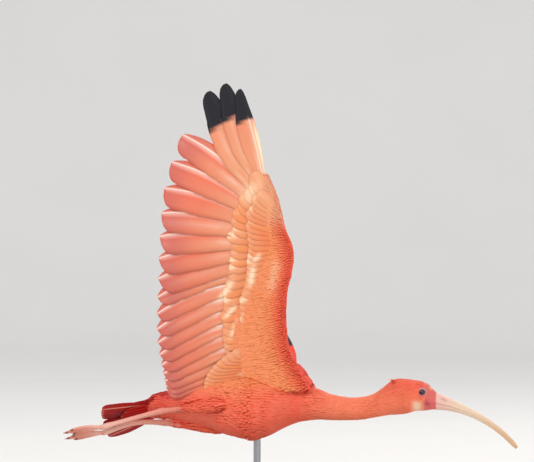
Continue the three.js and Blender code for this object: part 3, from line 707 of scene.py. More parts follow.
# %% The lofts of the arms
def wing_loft(side):
    """The fleshy arm of one wing."""
    sides = 40
    v = np.linspace(-12, 287, 110)
    (edge,) = between(LEADING_EDGE, v)
    chord, half = between(WING_FLESH, v)
    angle = round_steps(sides)
    back = (1 - np.cos(angle)) / 2
    bulge = 2.6 * np.sqrt(back) * (1 - back) * (1 - 0.18 * back) + 0.1 * back
    inset = np.minimum(COAT_DEPTH, half * 0.3)
    thick = np.where(back < 1e-6, 0, np.sign(np.sin(angle) + 1e-9))
    thick = thick * np.maximum(bulge * (half - inset)[:, None], 0.6)
    u_back = inset[:, None] + (chord - inset)[:, None] * back
    u = edge[:, None] - u_back
    spread_v = np.broadcast_to(v[:, None], u.shape)
    points = on_wing(side, u, spread_v, thick)
    swept = smooth_step(spread_v, 150, 290)
    ahead = on_wing(side, u - 1 + 0.6 * swept, spread_v - 0.22 * (1 - swept) + 0.8 * swept, thick)
    lie = unit(ahead - points)
    under = thick < 0
    tint = wing_tint(u_back, spread_v, under)
    length = np.interp(u_back, [0, 12, 40, 90], [7, 9, 14, 18])
    length = length * np.interp(spread_v, [0, 200, 290], [1, 0.9, 0.7])
    flat = np.stack([np.where(under, 0.5, 0.03) + u_back / 110 * 0.44, on_map((spread_v + 20) / 320)], -1)
    arm = REGION["arm_right" if side < 0 else "arm_left"]
    return points, tint, lie, length, flat, np.where(back > 0.8, REGION["none"], arm) + 0 * u


lofts += [wing_loft(-1), wing_loft(1)]
print("arms:", lofts[-1][0].shape[:2], "rings and sides")

# %% [markdown]
# The rump ends in a soft wedge that holds the tail feathers' roots, redder above than below.

# %% The loft of the rump's end
# back from the rump, half width, reach up, reach down
TAIL_FLESH = [(0, 25, 14, 25), (14, 25, 11, 20), (28, 22, 8, 13), (42, 18, 4.5, 6.5), (50, 14, 1.6, 1.8)]


def tail_loft():
    """The fleshy end of the rump, which carries the tail."""
    back = np.linspace(-3, 49, 30)
    half, up, down = between(TAIL_FLESH, back)
    shrink = np.minimum(COAT_DEPTH, up * 0.4)
    y, z, angle = ring_points(half - shrink, up - shrink, down - shrink, 48)
    points = on_tail(-back[:, None], y, z)
    ahead = on_tail(-back[:, None] - 1, y * 1.01, z * 0.97)
    lie = unit(ahead - points)
    x = np.broadcast_to(RUMP_X - back[:, None], angle.shape)
    turned = signed_turn(angle)
    tint = body_tint(x, turned)
    tint = mix(tint, TAIL_RED, 0.6 * smooth_step(x, RUMP_X, -140) * (np.abs(turned) < 1.9))
    length = np.broadcast_to(12.0, angle.shape)
    flat = np.stack([(x + TAIL_MAP_START) / BODY_ON_MAP * MAP_SHARE, on_map(angle / (2 * np.pi))], -1)
    return points, tint, lie, length, flat, np.full(angle.shape, REGION["tail"])


lofts.append(tail_loft())
print("rump's end:", lofts[-1][0].shape[:2], "rings and sides")

# %% [markdown]
# Each leg follows one smooth line from the belly to the knuckle of the toes. The same line serves the
# feathered thigh here and the bare shank later, so the two meet without a step.

# %% The legs' lines
# by side: x, out to the side, below the middle
LEG_LINES = {
    -1: [(-22, 33, 24), (-60, 29, 26), (-96, 23, 26.5), (-121, 19.5, 28), (-160, 13.5, 36), (-201, 8.5, 47)],
    1: [(-22, 27, 22), (-60, 20, 25), (-96, 12, 29.5), (-121, 6, 28.8), (-160, 1.5, 33.5), (-201, 6, 46)],
}
# share of the leg's length, radius
LEG_SIZE = [
    (0, 8), (0.07, 13), (0.2, 12.5), (0.32, 8), (0.4, 5), (0.44, 4), (0.5, 3.8), (0.54, 4.8),
    (0.6, 3.8), (0.75, 3.4), (0.92, 3.5), (0.97, 4.2), (1, 3.9),
]


def smooth_line(points, shares):
    """Points at shares of the length of a smooth line through a few given ones."""
    points = np.asarray(points, float)
    knots = np.concatenate([[0], np.cumsum(np.linalg.norm(np.diff(points, axis=0), axis=1) ** 0.5)])
    fine = np.linspace(0, knots[-1], 400)
    path = between(np.column_stack([knots, points]), fine).T
    run = run_along(path)
    return np.stack([np.interp(np.asarray(shares) * run[-1], run, path[:, i]) for i in range(3)], -1)


def leg_path(side, shares):
    """Places along one leg's line."""
    x, out, below = np.array(LEG_LINES[side], float).T
    return smooth_line(on_body(x, side * out, -below), shares)


def tube_points(path, radius, sides):
    """Rings round a path."""
    ahead = unit(np.gradient(path, axis=0))
    up = unit(np.cross(ahead, [0, 1, 0]))
    across = np.cross(up, ahead)
    angle = round_steps(sides)
    ring = across[:, None] * np.sin(angle)[None, :, None] + up[:, None] * np.cos(angle)[None, :, None]
    return path[:, None] + ring * np.asarray(radius)[:, None, None]


print("right leg's end in the frame:", np.round(leg_path(-1, [1.0])[0], 3))

# %% [markdown]
# A leg is feathered over less than half of its length, and a little further on the left leg, whose pale shank
# is mostly hidden in the photograph. The tint pales at the lower end, where the feathers stop.

# %% The lofts of the thighs
THIGH_END = {-1: 0.41, 1: 0.5}  # share of each leg's length that is feathered
THIGH_LEAST = 5.3  # the least radius that still carries feathers


def thigh_loft(side):
    """The feathered part of one leg."""
    end = THIGH_END[side]
    shares = np.linspace(0.01, end, 40)
    (radius,) = between(LEG_SIZE, shares)
    radius = np.maximum(radius * np.interp(shares, [0, 0.2, 0.4], [0.72, 0.84, 1]), THIGH_LEAST)
    path = leg_path(side, shares)
    points = tube_points(path, (radius - np.minimum(COAT_DEPTH, radius * 0.25)) * MM, 32)
    lie = unit(np.broadcast_to(np.gradient(path, axis=0)[:, None], points.shape))
    pale = 0.7 * smooth_step(shares, end - 0.07, end)
    tint = np.broadcast_to(mix(BREAST, PALE_PINK, pale)[:, None], points.shape)
    length = np.broadcast_to(np.interp(shares, [0, 0.3, end], [12, 9, 7])[:, None], points.shape[:2])
    around = np.broadcast_to(np.linspace(0, 1, 32, endpoint=False), points.shape[:2])
    flat = np.stack([0.03 + shares[:, None] + 0 * around, (0.03 if side < 0 else 0.52) + around * 0.44], -1)
    return points, tint, lie, length, flat, np.full(points.shape[:2], REGION["thigh"])


lofts += [thigh_loft(-1), thigh_loft(1)]
print("lofts in all:", len(lofts))

# %% [markdown]
# Voxels melt the six lofts into one closed skin, and a few rounds of smoothing take their steps away. A
# boolean union would keep sharp seams where a wing meets the flank, which no bird has.

# %% Melt the lofts into one skin
SKIN_VOXEL = 0.0017


def melted_skin():
    """All lofts in one mesh, remeshed by voxels and smoothed a little."""
    raw = make_piece("skin_raw", *joined([loft[0] for loft in lofts]), skin_finish)
    turned_out(raw)
    remesh = raw.modifiers.new("melt", "REMESH")
    remesh.mode, remesh.voxel_size = "VOXEL", SKIN_VOXEL
    relax = raw.modifiers.new("relax", "SMOOTH")
    relax.factor, relax.iterations = 0.5, 6
    depsgraph = bpy.context.evaluated_depsgraph_get()
    mesh = bpy.data.meshes.new_from_object(raw.evaluated_get(depsgraph))
    bpy.data.objects.remove(raw)
    return mesh


skin_mesh = melted_skin()
print("skin:", len(skin_mesh.vertices), "points")

# %% [markdown]
# The face needs finer forms than the voxels give: an eye socket with its lids, and the line of the
# mouth. Those faces are cut smaller, and their points are pushed in and out by smooth formulas. Real
# sculpting would give the same forms, but a formula can be read and changed.

# %% Cut the face finer and shape it
EYE_X, EYE_Z, EYE_RADIUS = 242.5, 19, 5.0
EYE_SUNK = 3.4  # how deep the eyeball's middle lies under the surface
MOUTH_Z = 3.2
FINE_FROM_X = 233


def eye_centre(side):
    """The middle of one eyeball, in metres."""
    height, half, up, _, _ = between(NECK_STATIONS, EYE_X)
    surface = half * math.sqrt(1 - ((EYE_Z - height) / up) ** 2)
    return (np.array([EYE_X, side * (surface - EYE_SUNK), EYE_Z]) + BIRD_PLACE) * MM


def finer_face(mesh):
    """Splits the faces ahead of the cheek, so that lids and mouth have enough points."""
    work = bmesh.new()
    work.from_mesh(mesh)
    start = (FINE_FROM_X + BIRD_PLACE[0]) * MM
    edges = [e for e in work.edges if all(v.co.x > start for v in e.verts)]
    bmesh.ops.subdivide_edges(work, edges=edges, cuts=2, use_grid_fill=True)
    bmesh.ops.triangulate(work, faces=[f for f in work.faces if len(f.verts) > 4])
    work.to_mesh(mesh)
    work.free()


def shape_face(mesh):
    """Sockets, lids and the mouth's line."""
    points = read_all(mesh.vertices, "co", 3)
    for side in (-1, 1):
        centre = eye_centre(side)
        near = np.hypot(points[:, 0] - centre[0], (points[:, 2] - centre[2]) * 1.12) / MM
        facing = (points[:, 1] - BIRD_PLACE[1] * MM) * side > 0
        lid = 1.15 * np.exp(-((near - 4.7) / 0.75) ** 2) + 0.25 * np.exp(-((near - 6.6) / 0.5) ** 2)
        socket = -3.6 * smooth_step(near, 4.2, 3.2)
        points[:, 1] += np.where(facing, side * (lid + socket) * MM, 0)
        x = points[:, 0] / MM - BIRD_PLACE[0]
        z = points[:, 2] / MM - BIRD_PLACE[2]
        line = MOUTH_Z + 0.05 * (x - FACE_X)
        groove = -1.1 * np.exp(-((z - line) / 0.55) ** 2) * smooth_step(x, 240, 248)
        lips = 0.35 * np.exp(-((np.abs(z - line) - 1.5) / 0.7) ** 2) * smooth_step(x, 240, 248)
        points[:, 1] += np.where(facing & (x < FACE_X - 0.5), side * (groove + lips) * MM, 0)
    mesh.vertices.foreach_set("co", points.ravel())
    mesh.update()
    return points


finer_face(skin_mesh)
skin_points = shape_face(skin_mesh)
print("skin with a finer face:", len(skin_points), "points")

# %% [markdown]
# The remesh made new points, which know nothing of the lofts. Each one looks up its six nearest loft points
# in a search tree and takes the average of what they know.

# %% Give each point of the skin what its nearest loft points know
def spread_from_lofts(points):
    """Tint, lie and length averaged from near loft points, and region and map from the nearest."""
    known = [np.concatenate([loft[i].reshape(-1, *loft[i].shape[2:]) for loft in lofts]) for i in range(6)]
    tree = kdtree.KDTree(len(known[0]))
    for i, place in enumerate(known[0]):
        tree.insert(place, i)
    tree.balance()
    near = np.array([[hit[1] for hit in tree.find_n(place, 6)] for place in points])
    tint, lie, length = (known[i][near].mean(axis=1) for i in (1, 2, 3))
    return tint, unit(lie), length, known[4][near[:, 0]], known[5][near[:, 0]]


skin_tint, skin_lie, skin_length, skin_flat, skin_region = spread_from_lofts(skin_points)
print("points by region:", np.bincount(skin_region.astype(int)).tolist())

# %% [markdown]
# The face has no feathers ahead of the eye: it is bare and pinkish, deeper at the corner of the mouth, and
# it has a grey ring round the eye, a small pale spot on the forehead and a cream cheek. Vertex painting
# could put them there by hand, but distances from the eye and the mouth are exact and easy to change.

# %% Tints of the face
def face_tints(points, tint, region):
    """The skin's tint with the face laid over it, and how bare each point is."""
    x, _, z = (points / MM - BIRD_PLACE).T
    to_eye = np.min([np.linalg.norm(points - eye_centre(side), axis=1) for side in (-1, 1)], axis=0) / MM
    on_head = region == REGION["head"]
    face_line = 247.5 - 0.14 * np.abs(z - 14)
    ahead = smooth_step(x, face_line - 1.2, face_line + 1.2)
    bare = np.where(on_head, np.maximum(ahead, smooth_step(to_eye, 7.9, 6.9)), 0)
    cheek = np.exp(-((x - 236.5) / 7) ** 4) * np.exp(-((z + 1) / 8) ** 4)
    gape = np.exp(-((x - 249) / 4.5) ** 2) * np.exp(-((z - 4 + 0.7 * (x - 249)) / 5) ** 2)
    forehead = np.exp(-((x - 255) / 2.6) ** 2 - ((z - 25.5) / 3) ** 2)
    ring = np.exp(-((to_eye - 5.4) / 1.0) ** 2)
    for colour, share in ((CHEEK, cheek), (FACE, bare), (FACE_DEEP, 0.7 * gape * bare),
                          (FOREHEAD, 0.75 * forehead), (EYE_RING, 0.65 * ring)):
        tint = mix(tint, colour, np.where(on_head, share, 0))
    return tint, bare


skin_tint, bare = face_tints(skin_points, skin_tint, skin_region)
print("bare share of the skin:", round(float((bare > 0.5).mean()), 3))

# %% [markdown]
# What each point knows is stored in the mesh as attributes, by name. Geometry Nodes and materials can then
# ask for the tint, the lie or the length of feathers wherever they need it.

# %% Store it all in the mesh
def give_attribute(mesh, name, kind, values):
    """Stores one value for each point of a mesh."""
    layer = mesh.attributes.new(name, kind, "POINT")
    field = {"FLOAT_COLOR": "color", "FLOAT_VECTOR": "vector", "FLOAT": "value"}[kind]
    layer.data.foreach_set(field, np.asarray(values, np.float32).ravel())


give_attribute(skin_mesh, "tint", "FLOAT_COLOR", np.column_stack([skin_tint, np.ones(len(skin_tint))]))
give_attribute(skin_mesh, "lie", "FLOAT_VECTOR", skin_lie)
give_attribute(skin_mesh, "length", "FLOAT", skin_length * MM)
give_attribute(skin_mesh, "flat", "FLOAT_VECTOR", np.column_stack([skin_flat, np.zeros(len(skin_flat))]))
skin = new_object("skin", skin_mesh)
skin_mesh.polygons.foreach_set("use_smooth", [True] * len(skin_mesh.polygons))
print("kept in the mesh:", [layer.name for layer in skin_mesh.attributes])

# %% [markdown]
# The coat of small feathers repeats one form many thousand times, which is work for Geometry Nodes:
# points are scattered evenly over the skin, each carries a copy of a feather that lies along the
# coat, and the copies are made real so that they can be exported. A hair system would look alike in
# a render, but it has no mesh.

# %% One small feather
FORM_ALONG = np.array([0.0, 0.22, 0.5, 0.78, 0.94, 1.0])
VANE_SCALE = 1.2  # centimetres on the map named vane to one unit of the form


def small_feather(name):
    """A unit feather along +X: a low roof over a flat underside, tapered and a little hooked."""
    along = FORM_ALONG
    half = np.array([0.05, 0.19, 0.27, 0.25, 0.14, 0.03])
    rise = np.array([-0.025, 0.002, 0.014, 0.019, 0.017, 0.012])
    ridge = np.array([0.01, 0.013, 0.012, 0.01, 0.008, 0.006])
    droop = np.array([0.0, 0.018, 0.04, 0.046, 0.028, 0.0])
    rings = np.stack([
        np.stack([along, half, rise - droop], -1),
        np.stack([along, 0 * half, rise + ridge], -1),
        np.stack([along, -half, rise - droop], -1),
    ], 1)
    vane_map = np.stack([rings[..., 1], rings[..., 0]], -1).reshape(-1, 2) * VANE_SCALE
    piece = make_piece(name, rings.reshape(-1, 3), tube_faces(len(along), 3), plumage, vane_map)
    return turned_out(piece)


feather_form = small_feather("feather_form")
print("small feather:", len(feather_form.data.polygons), "faces")

# %% [markdown]
# The tree scatters points at least a spacing apart, turns a feather along the stored lie at each, varies its
# turn and its size a little so that no rows show, and gives it the stored length.

# %% The tree that lays the coat
MOST_POINTS = 4e6  # to the square metre, before the spacing thins them
TURN_FROM, TURN_TO = (-0.015, -0.008, -0.08), (0.015, 0.006, 0.08)
SIZE_FROM, SIZE_TO = 0.82, 1.15


def coat_tree():
    """Scatter points, turn a feather along the lie at each, vary it, make all real."""
    tree = bpy.data.node_groups.new("lay_feathers", "GeometryNodeTree")
    for label, kind in (("Skin", "NodeSocketGeometry"), ("Feather", "NodeSocketObject"),
                        ("Spacing", "NodeSocketFloat"), ("Scale", "NodeSocketFloat"),
                        ("Seed", "NodeSocketInt"), ("Finish", "NodeSocketMaterial")):
        tree.interface.new_socket(label, in_out="INPUT", socket_type=kind)
    tree.interface.new_socket("Coat", in_out="OUTPUT", socket_type="NodeSocketGeometry")
    given = tree.nodes.new("NodeGroupInput").outputs
    link = tree.links.new

    def named(name, kind):
        node = add_node(tree, "GeometryNodeInputNamedAttribute", data_type=kind)
        node.inputs[0].default_value = name
        return node.outputs[0]

    scatter = add_node(tree, "GeometryNodeDistributePointsOnFaces", distribute_method="POISSON")
    link(given["Skin"], scatter.inputs["Mesh"])
    link(given["Spacing"], scatter.inputs["Distance Min"])
    scatter.inputs["Density Max"].default_value = MOST_POINTS
    link(named("cover", "FLOAT"), scatter.inputs["Density Factor"])
    link(given["Seed"], scatter.inputs["Seed"])
    turn = add_node(tree, "FunctionNodeAxesToRotation", primary_axis="Z", secondary_axis="X")
    link(scatter.outputs["Normal"], turn.inputs[0])
    link(named("lie", "FLOAT_VECTOR"), turn.inputs[1])
    vary = add_node(tree, "FunctionNodeRandomValue", data_type="FLOAT_VECTOR")
    vary.inputs["Min"].default_value = TURN_FROM
    vary.inputs["Max"].default_value = TURN_TO
    link(given["Seed"], vary.inputs["Seed"])
    to_turn = tree.nodes.new("FunctionNodeEulerToRotation")
    link(vary.outputs[0], to_turn.inputs[0])
    sway = add_node(tree, "FunctionNodeRotateRotation", rotation_space="LOCAL")
    link(turn.outputs[0], sway.inputs[0])
    link(to_turn.outputs[0], sway.inputs[1])
    size = add_node(tree, "FunctionNodeRandomValue", data_type="FLOAT")
    size.inputs[2].default_value, size.inputs[3].default_value = SIZE_FROM, SIZE_TO
    link(given["Seed"], size.inputs["Seed"])
    grown = add_node(tree, "ShaderNodeMath", operation="MULTIPLY")
    link(named("length", "FLOAT"), grown.inputs[0])
    link(size.outputs[1], grown.inputs[1])
    scaled = add_node(tree, "ShaderNodeMath", operation="MULTIPLY")
    link(grown.outputs[0], scaled.inputs[0])
    link(given["Scale"], scaled.inputs[1])
    form = add_node(tree, "GeometryNodeObjectInfo", transform_space="ORIGINAL")
    link(given["Feather"], form.inputs[0])
    grow = tree.nodes.new("GeometryNodeInstanceOnPoints")
    link(scatter.outputs["Points"], grow.inputs["Points"])
    link(form.outputs["Geometry"], grow.inputs["Instance"])
    link(sway.outputs[0], grow.inputs["Rotation"])
    link(scaled.outputs[0], grow.inputs["Scale"])
    real = tree.nodes.new("GeometryNodeRealizeInstances")
    link(grow.outputs[0], real.inputs[0])
    finish = tree.nodes.new("GeometryNodeSetMaterial")
    link(real.outputs[0], finish.inputs["Geometry"])
    link(given["Finish"], finish.inputs["Material"])
    link(finish.outputs[0], tree.nodes.new("NodeGroupOutput").inputs[0])
    return tree


lay_feathers = coat_tree()
coat_inputs = {item.name: item.identifier for item in lay_feathers.interface.items_tree
               if getattr(item, "in_out", "") == "INPUT"}
print("inputs of the coat's tree:", list(coat_inputs))

# %% [markdown]
# The tree is set on a copy of the skin, one region at a time, with a spacing and a seed of its own. What it
# makes is taken as a plain mesh, and the modifier goes with the copy. Every feather gets its own shade, a
# painted shadow at its root where the feathers over it would shade it, and its own patch of the bake map.

# %% Lay the coat, region by region
LENGTH_SCALE = 1.0  # of all small feathers at once
# each feather's shade by chance, then the painted shadow at its root and how fast it fades towards the tip
SHADE_FROM, SHADE_TO, PAINTED_SHADOW_AT_ROOT, PAINTED_SHADOW_FADE = 0.94, 1.05, 0.94, 0.08


def shade_feathers(mesh):
    """Shades each small feather by chance, and paints shadow at its root that fades towards its tip."""
    points_each = 3 * len(FORM_ALONG)
    feathers = len(mesh.vertices) // points_each
    tint = read_all(mesh.attributes["tint"].data, "color", 4, np.float32)
    shade = np.repeat(rng.uniform(SHADE_FROM, SHADE_TO, feathers), points_each)
    # painted shadow: darker at the root, under the feathers that lie over it
    shade = shade * np.tile(np.repeat(PAINTED_SHADOW_AT_ROOT + PAINTED_SHADOW_FADE * FORM_ALONG, 3), feathers)
    mesh.attributes["tint"].data.foreach_set("color", (tint * shade[:, None]).ravel())


def lay_coat(name, regions, spacing, seed):
    """A coat over some regions of the skin, as one plain mesh with its bake map."""
    base = new_object(name + "_base", skin_mesh.copy())
    cover = np.isin(skin_region, [REGION[region] for region in regions]) * (1 - bare)
    give_attribute(base.data, "cover", "FLOAT", (cover > 0.5).astype(float))
    modifier = base.modifiers.new("coat", "NODES")
    modifier.node_group = lay_feathers
    for label, value in (("Feather", feather_form), ("Spacing", spacing * MM), ("Scale", LENGTH_SCALE),
                         ("Seed", seed), ("Finish", plumage)):
        modifier[coat_inputs[label]] = value
    depsgraph = bpy.context.evaluated_depsgraph_get()
    mesh = bpy.data.meshes.new_from_object(base.evaluated_get(depsgraph))
    bpy.data.objects.remove(base)
    flat = read_all(mesh.attributes["flat"].data, "vector", 3, np.float32)
    corner_point = read_all(mesh.loops, "vertex_index", 1, int)
    patch = (read_all(mesh.uv_layers["vane"].data, "uv", 2, np.float32) / VANE_SCALE - [0, 0.5]) * PATCH
    layer = mesh.uv_layers.new(name="OFBake")
    layer.data.foreach_set("uv", (flat[corner_point, :2] + patch).astype(np.float32).ravel())
    shade_feathers(mesh)
    for spare in ("lie", "length", "flat", "cover"):
        if spare in mesh.attributes:
            mesh.attributes.remove(mesh.attributes[spare])
    mesh.name = name
    print(name, len(mesh.polygons), "faces")
    return new_object(name, mesh)


# name, regions, spacing in millimetres, seed
COATS = [
    ("coat_body", ("torso", "tail", "thigh"), 3.1, 3),
    ("coat_neck", ("neck",), 2.2, 5),
    ("coat_head", ("head",), 1.5, 7),
    ("coat_arm_right", ("arm_right",), 3.0, 11),
    ("coat_arm_left", ("arm_left",), 3.0, 13),
]
coats = [lay_coat(*plan) for plan in COATS]
print("coats:", len(coats))

# %% [markdown]
# The large feathers are made one by one, because each has its own place, length and bend. A vane is
# a sheet with a round-tipped outline, a low curve across it and a raised shaft, closed underneath. It could
# be modelled once and copied, but then every tip would be alike. They lie over each other in tiers, as in
# the solids: flight feathers, then rows of coverts on both faces of the wing.

# %% One large feather as a sheet
# share of the length, share of the width on the outer side, and on the inner side
LONG_OUTLINE = [
    (0, 0.16, 0.16), (0.3, 0.68, 0.68), (0.62, 1, 1), (0.84, 0.76, 1), (0.93, 0.5, 0.94), (0.98, 0.24, 0.72),
    (1, 0.08, 0.4),
]
FINGER_OUTLINE = [
    (0, 0.14, 0.14), (0.22, 0.56, 0.56), (0.44, 1, 1), (0.66, 0.96, 0.99), (0.75, 0.8, 0.88),
    (0.83, 0.68, 0.72), (0.93, 0.54, 0.54), (0.98, 0.34, 0.34), (1, 0.12, 0.12),
]
SHORT_OUTLINE = [
    (0, 0.2, 0.2), (0.4, 0.88, 0.88), (0.7, 1, 1), (0.88, 0.86, 0.86), (0.96, 0.56, 0.56), (1, 0.2, 0.2),
]
TILT = 0.09  # how far one side of a vane rises over the other
VANE_THICK = 0.45
TIP_CROWDING = 1.25  # puts more rows near the tip


def large_feather(root, tip, width, place, tint_of, outer=0.42, bow=0.07, tilt=TILT, outline=LONG_OUTLINE,
                  rows=36, columns=9, shaft=0.9, ragged=0.02, hump=0.2, thick=VANE_THICK):
    """Points, maps and tints of one feather. root and tip are (u, v, w), as place takes them."""
    f = 1 - (1 - np.linspace(0, 1, rows)) ** TIP_CROWDING
    front, rear = between(outline, f)
    along, over = tip[0] - root[0], tip[1] - root[1]
    bend, turn = 4 * f * (1 - f) * bow, 4 * (1 - 2 * f) * bow
    u, v = root[0] + along * f + over * bend, root[1] + over * f - along * bend
    tu, tv = along + over * turn, over - along * turn
    length = np.hypot(tu, tv)
    w = root[2] + (tip[2] - root[2]) * np.minimum(1, f / 0.35)
    edge_noise = 1 - ragged * np.abs(rng.normal(size=(2, rows))) * smooth_step(f, 0.15, 0.4)
    side = np.linspace(-1, 1, columns)
    off = width * side[None] * np.where(side[None] > 0, outer * (front * edge_noise[0])[:, None],
                                        (1 - outer) * (rear * edge_noise[1])[:, None])
    rise = w[:, None] + tilt * off + hump * (1 - (side[None] ** 2)) * np.minimum(1, width / 20)
    thick = thick * (1 - 0.35 * np.abs(side[None]) ** 3) * (1.1 - 0.3 * f[:, None])
    thick = thick + shaft * np.exp(-(off / 0.8) ** 2) * (1 - 0.75 * f[:, None])
    pu, pv = u[:, None] + off * (tv / length)[:, None], v[:, None] - off * (tu / length)[:, None]
    top, low = place(pu, pv, rise + thick / 2), place(pu, pv, rise - thick / 2)
    points = np.concatenate([top, low[:, ::-1]], 1)
    mm_along = f * np.hypot(along, over) * (1 + 1.5 * bow * bow)
    maps = np.stack([off, np.broadcast_to(mm_along[:, None], off.shape)], -1) * 0.1
    maps = np.concatenate([maps, maps[:, ::-1]], 1)
    tint_top, tint_low = tint_of(f[:, None], off / width, pu, pv)
    tints = np.concatenate([tint_top, tint_low[:, ::-1]], 1)
    return points, maps, tints


print("outlines of a vane:", len(LONG_OUTLINE), len(FINGER_OUTLINE), len(SHORT_OUTLINE), "stations")

# %% [markdown]
# All feathers of one kind become one object, because hundreds of objects are slow to handle. On the bake map
# each gets a square cell, so that no two overlap.

# %% Many feathers as one piece
CELL_FROM, CELL_TO = 0.04, 0.96


def gathered(name, feathers, cells, material=vanes):
    """Joins feathers into one piece, and gives each a cell of its own on the bake map."""
    bakes = []
    for n, (ring, _, _) in enumerate(feathers):
        rings, sides = ring.shape[:2]
        across = np.broadcast_to(np.linspace(CELL_FROM, CELL_TO, sides), (rings, sides))
        along = np.broadcast_to(np.linspace(CELL_FROM, CELL_TO, rings)[:, None], (rings, sides))
        cell = np.stack([(n % cells + across) / cells, (n // cells + along) / cells], -1)
        bakes.append(cell.reshape(-1, 2))
    points, faces = joined([ring for ring, _, _ in feathers])
    piece = make_piece(name, points, faces, material, in_rows([maps for _, maps, _ in feathers]),
                       in_rows([tints for _, _, tints in feathers]), np.concatenate(bakes))
    turned_out(piece)
    print(name, len(feathers), "feathers,", len(faces), "faces")
    return piece


print("a cell on the bake map is filled from", CELL_FROM, "to", CELL_TO)

# %% [markdown]
# A wing like this has ten primaries on the hand and eight secondaries on the arm, and two tertials close it
# to the body. The three longest primaries part into black fingers. Roots follow the arm's flesh and tips
# follow the rear edge, so a change of either moves them all.

# %% Where the flight feathers grow
TERTIALS, SECONDARIES, PRIMARIES = 2, 8, 10
FIRST_PRIMARY = TERTIALS + SECONDARIES
FLIGHT_COUNT = FIRST_PRIMARY + PRIMARIES
# by count from the body: tip in the wing's plane, width, share of the width on the outer side
FINGERS = {17: ((-103, 408), 43, 0.3), 18: ((-80, 420), 37, 0.3), 19: ((-59, 412), 27, 0.26)}
FINGER_BOW = 0.015
SECONDARY = {"width": 34, "outer": 0.4, "bow": 0.085}
PRIMARY = {"width": 41, "outer": 0.28, "bow": 0.08}
SECONDARY_ROOTS, PRIMARY_ROOTS = (30, 154), (167, 262)  # v of the first and the last


def flight_feather(k):
    """Root, tip, width and build of flight feather k, counted out from the body."""
    if k < TERTIALS:
        v = 14 + 8 * k
    elif k < FIRST_PRIMARY:
        v = np.interp(k, [TERTIALS, FIRST_PRIMARY - 1], SECONDARY_ROOTS)
    else:
        v = np.interp(k, [FIRST_PRIMARY, FLIGHT_COUNT - 1], PRIMARY_ROOTS)
    (edge,), (chord, _) = between(LEADING_EDGE, v), between(WING_FLESH, v)
    tip_v = -12 + 4.41 * k + 1.115 * k * k
    (tip_u,) = between(REAR_EDGE, tip_v)
    feather = {"root": (edge - 0.55 * chord, v, 0), "tip": (tip_u, tip_v, 0),
               **(PRIMARY if k >= FIRST_PRIMARY else SECONDARY)}
    if k in FINGERS:
        (tip_u, tip_v), width, outer = FINGERS[k]
        feather.update(tip=(tip_u, tip_v, 0), width=width, outer=outer, bow=FINGER_BOW,
                       outline=FINGER_OUTLINE)
    return feather


flight = [flight_feather(k) for k in range(FLIGHT_COUNT)]
longest = max(np.hypot(a["tip"][0] - a["root"][0], a["tip"][1] - a["root"][1]) for a in flight)
print("longest flight feather:", round(float(longest)), "mm")

# %% [markdown]
# Seen from below, light comes through a flight feather: it is peach at the root and rosier at the tip, with a
# painted sheen as a pale streak beside the shaft, a fainter pale streak further from it, and red along its
# outer edge. From above it is scarlet, with the same painted sheen, fainter. Black starts at a share of the
# length of each finger, and a little nearer the body on the left wing, as the photograph shows.

# %% Tints of the flight feathers
BLACK_FROM = {17: 0.73, 18: 0.72, 19: 0.7}
LEFT_BLACK_EARLIER = 0.08


def flight_tint(k, side):
    """The tints of both faces of flight feather k, as a function of place on the vane."""
    vary, shift = rng.random(), rng.normal()

    def tints(f, across, u, v):
        f = np.broadcast_to(f, across.shape)
        shaft = np.exp(-(across / 0.03) ** 2)
        edge = smooth_step(across, 0.12, 0.34)
        # a painted sheen: a pale streak beside the shaft, strong on the lower face and fainter on the upper
        sheen_streak = np.exp(-((across + 0.05 + 0.02 * shift) / 0.06) ** 2)
        low = mix(CORAL, PEACH, 0.15 + 0.5 * smooth_step(f, 0.75, 0.25) + 0.25 * vary)
        low = mix(low, PALE_PINK, (0.6 + 0.4 * vary) * sheen_streak * smooth_step(f, 1.05, 0.7))
        low = mix(low, LEAD_RED, 0.3 * np.exp(-((across + 0.2 + 0.03 * shift) / 0.05) ** 2))
        low = mix(low, PALE_PINK, 0.45 * vary * np.exp(-((across + 0.31 + 0.04 * shift) / 0.05) ** 2))
        low = mix(low, ROSE, 0.6 * smooth_step(f + 0.1 * vary, 0.72, 1.02))
        low = mix(low, LEAD_RED, 0.55 * edge * smooth_step(f, 0.2, 0.5))
        low = mix(low, PALE_PINK, 0.6 * shaft)
        if k in FINGERS:
            edge_light = (k == FLIGHT_COUNT - 1) * smooth_step(across, 0.02, 0.14) * smooth_step(f, 0.8, 0.5)
            low = mix(low, PEACH, 0.4)
            low = mix(low, CREAM, 0.9 * edge_light)
        low = pale_bases_and_highlights(low, u, v)
        top = mix(SCARLET, BREAST, 0.6 * vary + 0.3 * sheen_streak)
        top = mix(top, LEAD_RED, 0.5 * shaft)
        if k in FINGERS:
            start = BLACK_FROM[k] - (LEFT_BLACK_EARLIER if side > 0 else 0)
            black = smooth_step(f + 0.05 * np.abs(across), start - 0.01, start + 0.015)
            low, top = mix(low, BLUE_BLACK, black), mix(top, BLUE_BLACK, black)
        return top, low

    return tints


print("black starts at", BLACK_FROM)

# %% [markdown]
# Coverts under the wing are soft peach and orange, with cream at the tips of a few, and those on the upper
# side are scarlet. Chance gives each its own shade.

# %% Tints of the coverts
PALE_TIPS = 0.12  # share of the coverts with a cream tip


